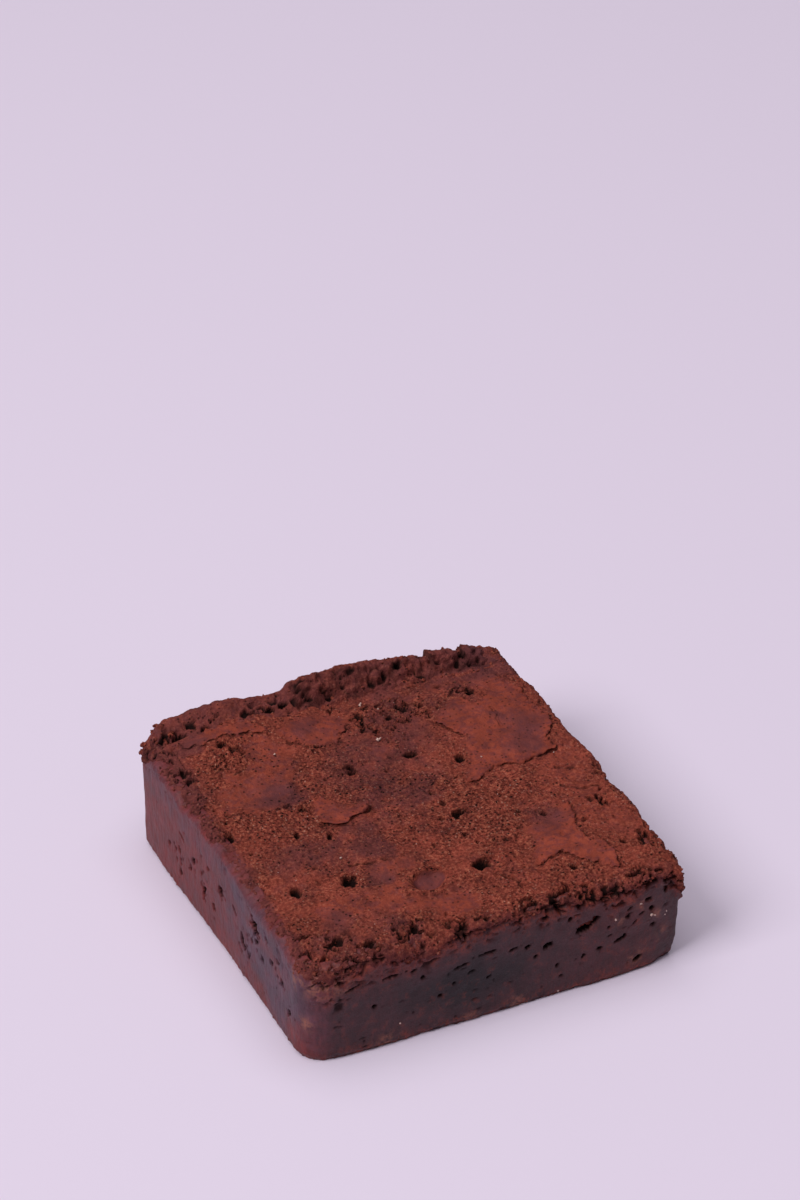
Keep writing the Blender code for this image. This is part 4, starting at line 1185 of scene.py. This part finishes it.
sugar = {
    "colour": "#c9a89e", "roughness": 0.35, "specular": 0.5,
    "glow": {"Subsurface Weight": 0.3, "Subsurface Radius": (0.4, 0.3, 0.25), "Subsurface Scale": 0.4 * mm},
    # how many finer grains lie anywhere on the crust, their smallest and largest size, and the scale of all
    "scattered": (20, 0.08, 0.14), "scale": 0.8,
    # x, y, size of the grains that stand out on the crust
    "onTop": ((3.2, 20.4, 0.5), (3.9, 20.3, 0.42), (5.6, 34.0, 0.4), (-18.4, 23.5, 0.34), (19.7, 5.9, 0.32),
              (-20.2, -13.1, 0.32), (34.1, 1.4, 0.24), (5.0, 33.2, 0.34), (8.3, 31.0, 0.5)),
    # x, height, size of those in the front cut
    "onFront": ((30.6, 16.8, 0.34), (33.2, 13.3, 0.34), (33.9, 13.0, 0.3), (36.9, 12.7, 0.26),
                (36.6, 12.0, 0.24), (25.2, 14.6, 0.28), (13.2, 0.9, 0.3), (-21.0, 4.6, 0.34)),
}


def makeSugar():
    # Undissolved sugar: translucent pale grains, slightly glossy, faintly stained by cocoa
    material, shader, *_ = startMaterial("undissolved sugar", sugar)
    shader.inputs["Base Color"].default_value = paint(sugar["colour"])
    for socket, value in sugar["glow"].items():
        shader.inputs[socket].default_value = value
    rng = np.random.default_rng(19)
    flatTop = topPoints.reshape(-1, 3)
    flatSide = sidePoints.reshape(-1, 3)
    flatSide = flatSide[flatSide[:, 1] < -38]
    centres = [flatTop[np.argmin(np.hypot(*(flatTop[:, :2] - place).T))] + (0, 0, 0.3)
               for *place, _ in sugar["onTop"]]
    centres += [flatSide[np.argmin(np.hypot(*(flatSide[:, ::2] - place).T))]
                for *place, _ in sugar["onFront"]]
    count, smallest, largest = sugar["scattered"]
    more = rng.choice(len(flatTop), count, replace=False)
    sizes = [size for *_, size in sugar["onTop"] + sugar["onFront"]]
    sizes = sugar["scale"] * np.concatenate([sizes, rng.uniform(smallest, largest, count)])
    centres = np.concatenate([centres, flatTop[more]])
    makeBlobs("sugarGrains", centres, sizes, 23, material, {})


makeSugar()
print("crumbs and sugar made")


stage = {
    "floor": "#e3d6e8", "roughness": 0.9, "specular": 0.2, "world": "#e9e0f2", "worldStrength": 0.176,
    # power in watts, side in metres, place in metres
    "lights": {"key": (45.0, 1.3, (-1.9, -0.4, 2.0)), "overhead": (33.0, 2.6, (-0.1, 0.15, 2.4))},
    # focal length and film width in millimetres, where the camera stands and what it looks at in metres
    "lens": 100, "film": 36, "camera": (-0.23236, -0.49263, 0.41095), "aim": (0.04693, 0.10278, 0.0),
}


def makeStage():
    # A pale matt table top, plain surroundings and two soft lights turned to the middle
    mesh = bpy.data.meshes.new("table")
    mesh.from_pydata([(-4, -4, 0), (4, -4, 0), (4, 4, 0), (-4, 4, 0)], [], [(0, 1, 2, 3)])
    table = bpy.data.objects.new("table", mesh)
    material, shader, *_ = startMaterial("matt card", stage)
    shader.inputs["Base Color"].default_value = paint(stage["floor"])
    mesh.materials.append(material)
    bpy.context.scene.collection.objects.link(table)
    world = bpy.data.worlds.new("studio")
    world.use_nodes = True
    world.node_tree.nodes["Background"].inputs["Color"].default_value = paint(stage["world"])
    world.node_tree.nodes["Background"].inputs["Strength"].default_value = stage["worldStrength"]
    bpy.context.scene.world = world
    for name, (power, side, place) in stage["lights"].items():
        light = bpy.data.lights.new(name, "AREA")
        light.size = side
        light.energy = power
        softbox = bpy.data.objects.new(name, light)
        softbox.location = place
        softbox.rotation_euler = (-Vector(place)).to_track_quat("-Z", "Y").to_euler()
        bpy.context.scene.collection.objects.link(softbox)


def makeCamera():
    # Stands above the front left corner and looks down on it
    camera = bpy.data.objects.new("camera", bpy.data.cameras.new("camera"))
    camera.data.lens = stage["lens"]
    camera.data.sensor_width = stage["film"]
    camera.location = stage["camera"]
    camera.rotation_euler = (Vector(stage["aim"]) - camera.location).to_track_quat("-Z", "Y").to_euler()
    bpy.context.scene.collection.objects.link(camera)
    bpy.context.scene.camera = camera


makeStage()
makeCamera()
bpy.context.scene.view_settings.view_transform = "Standard"
print("stage made")
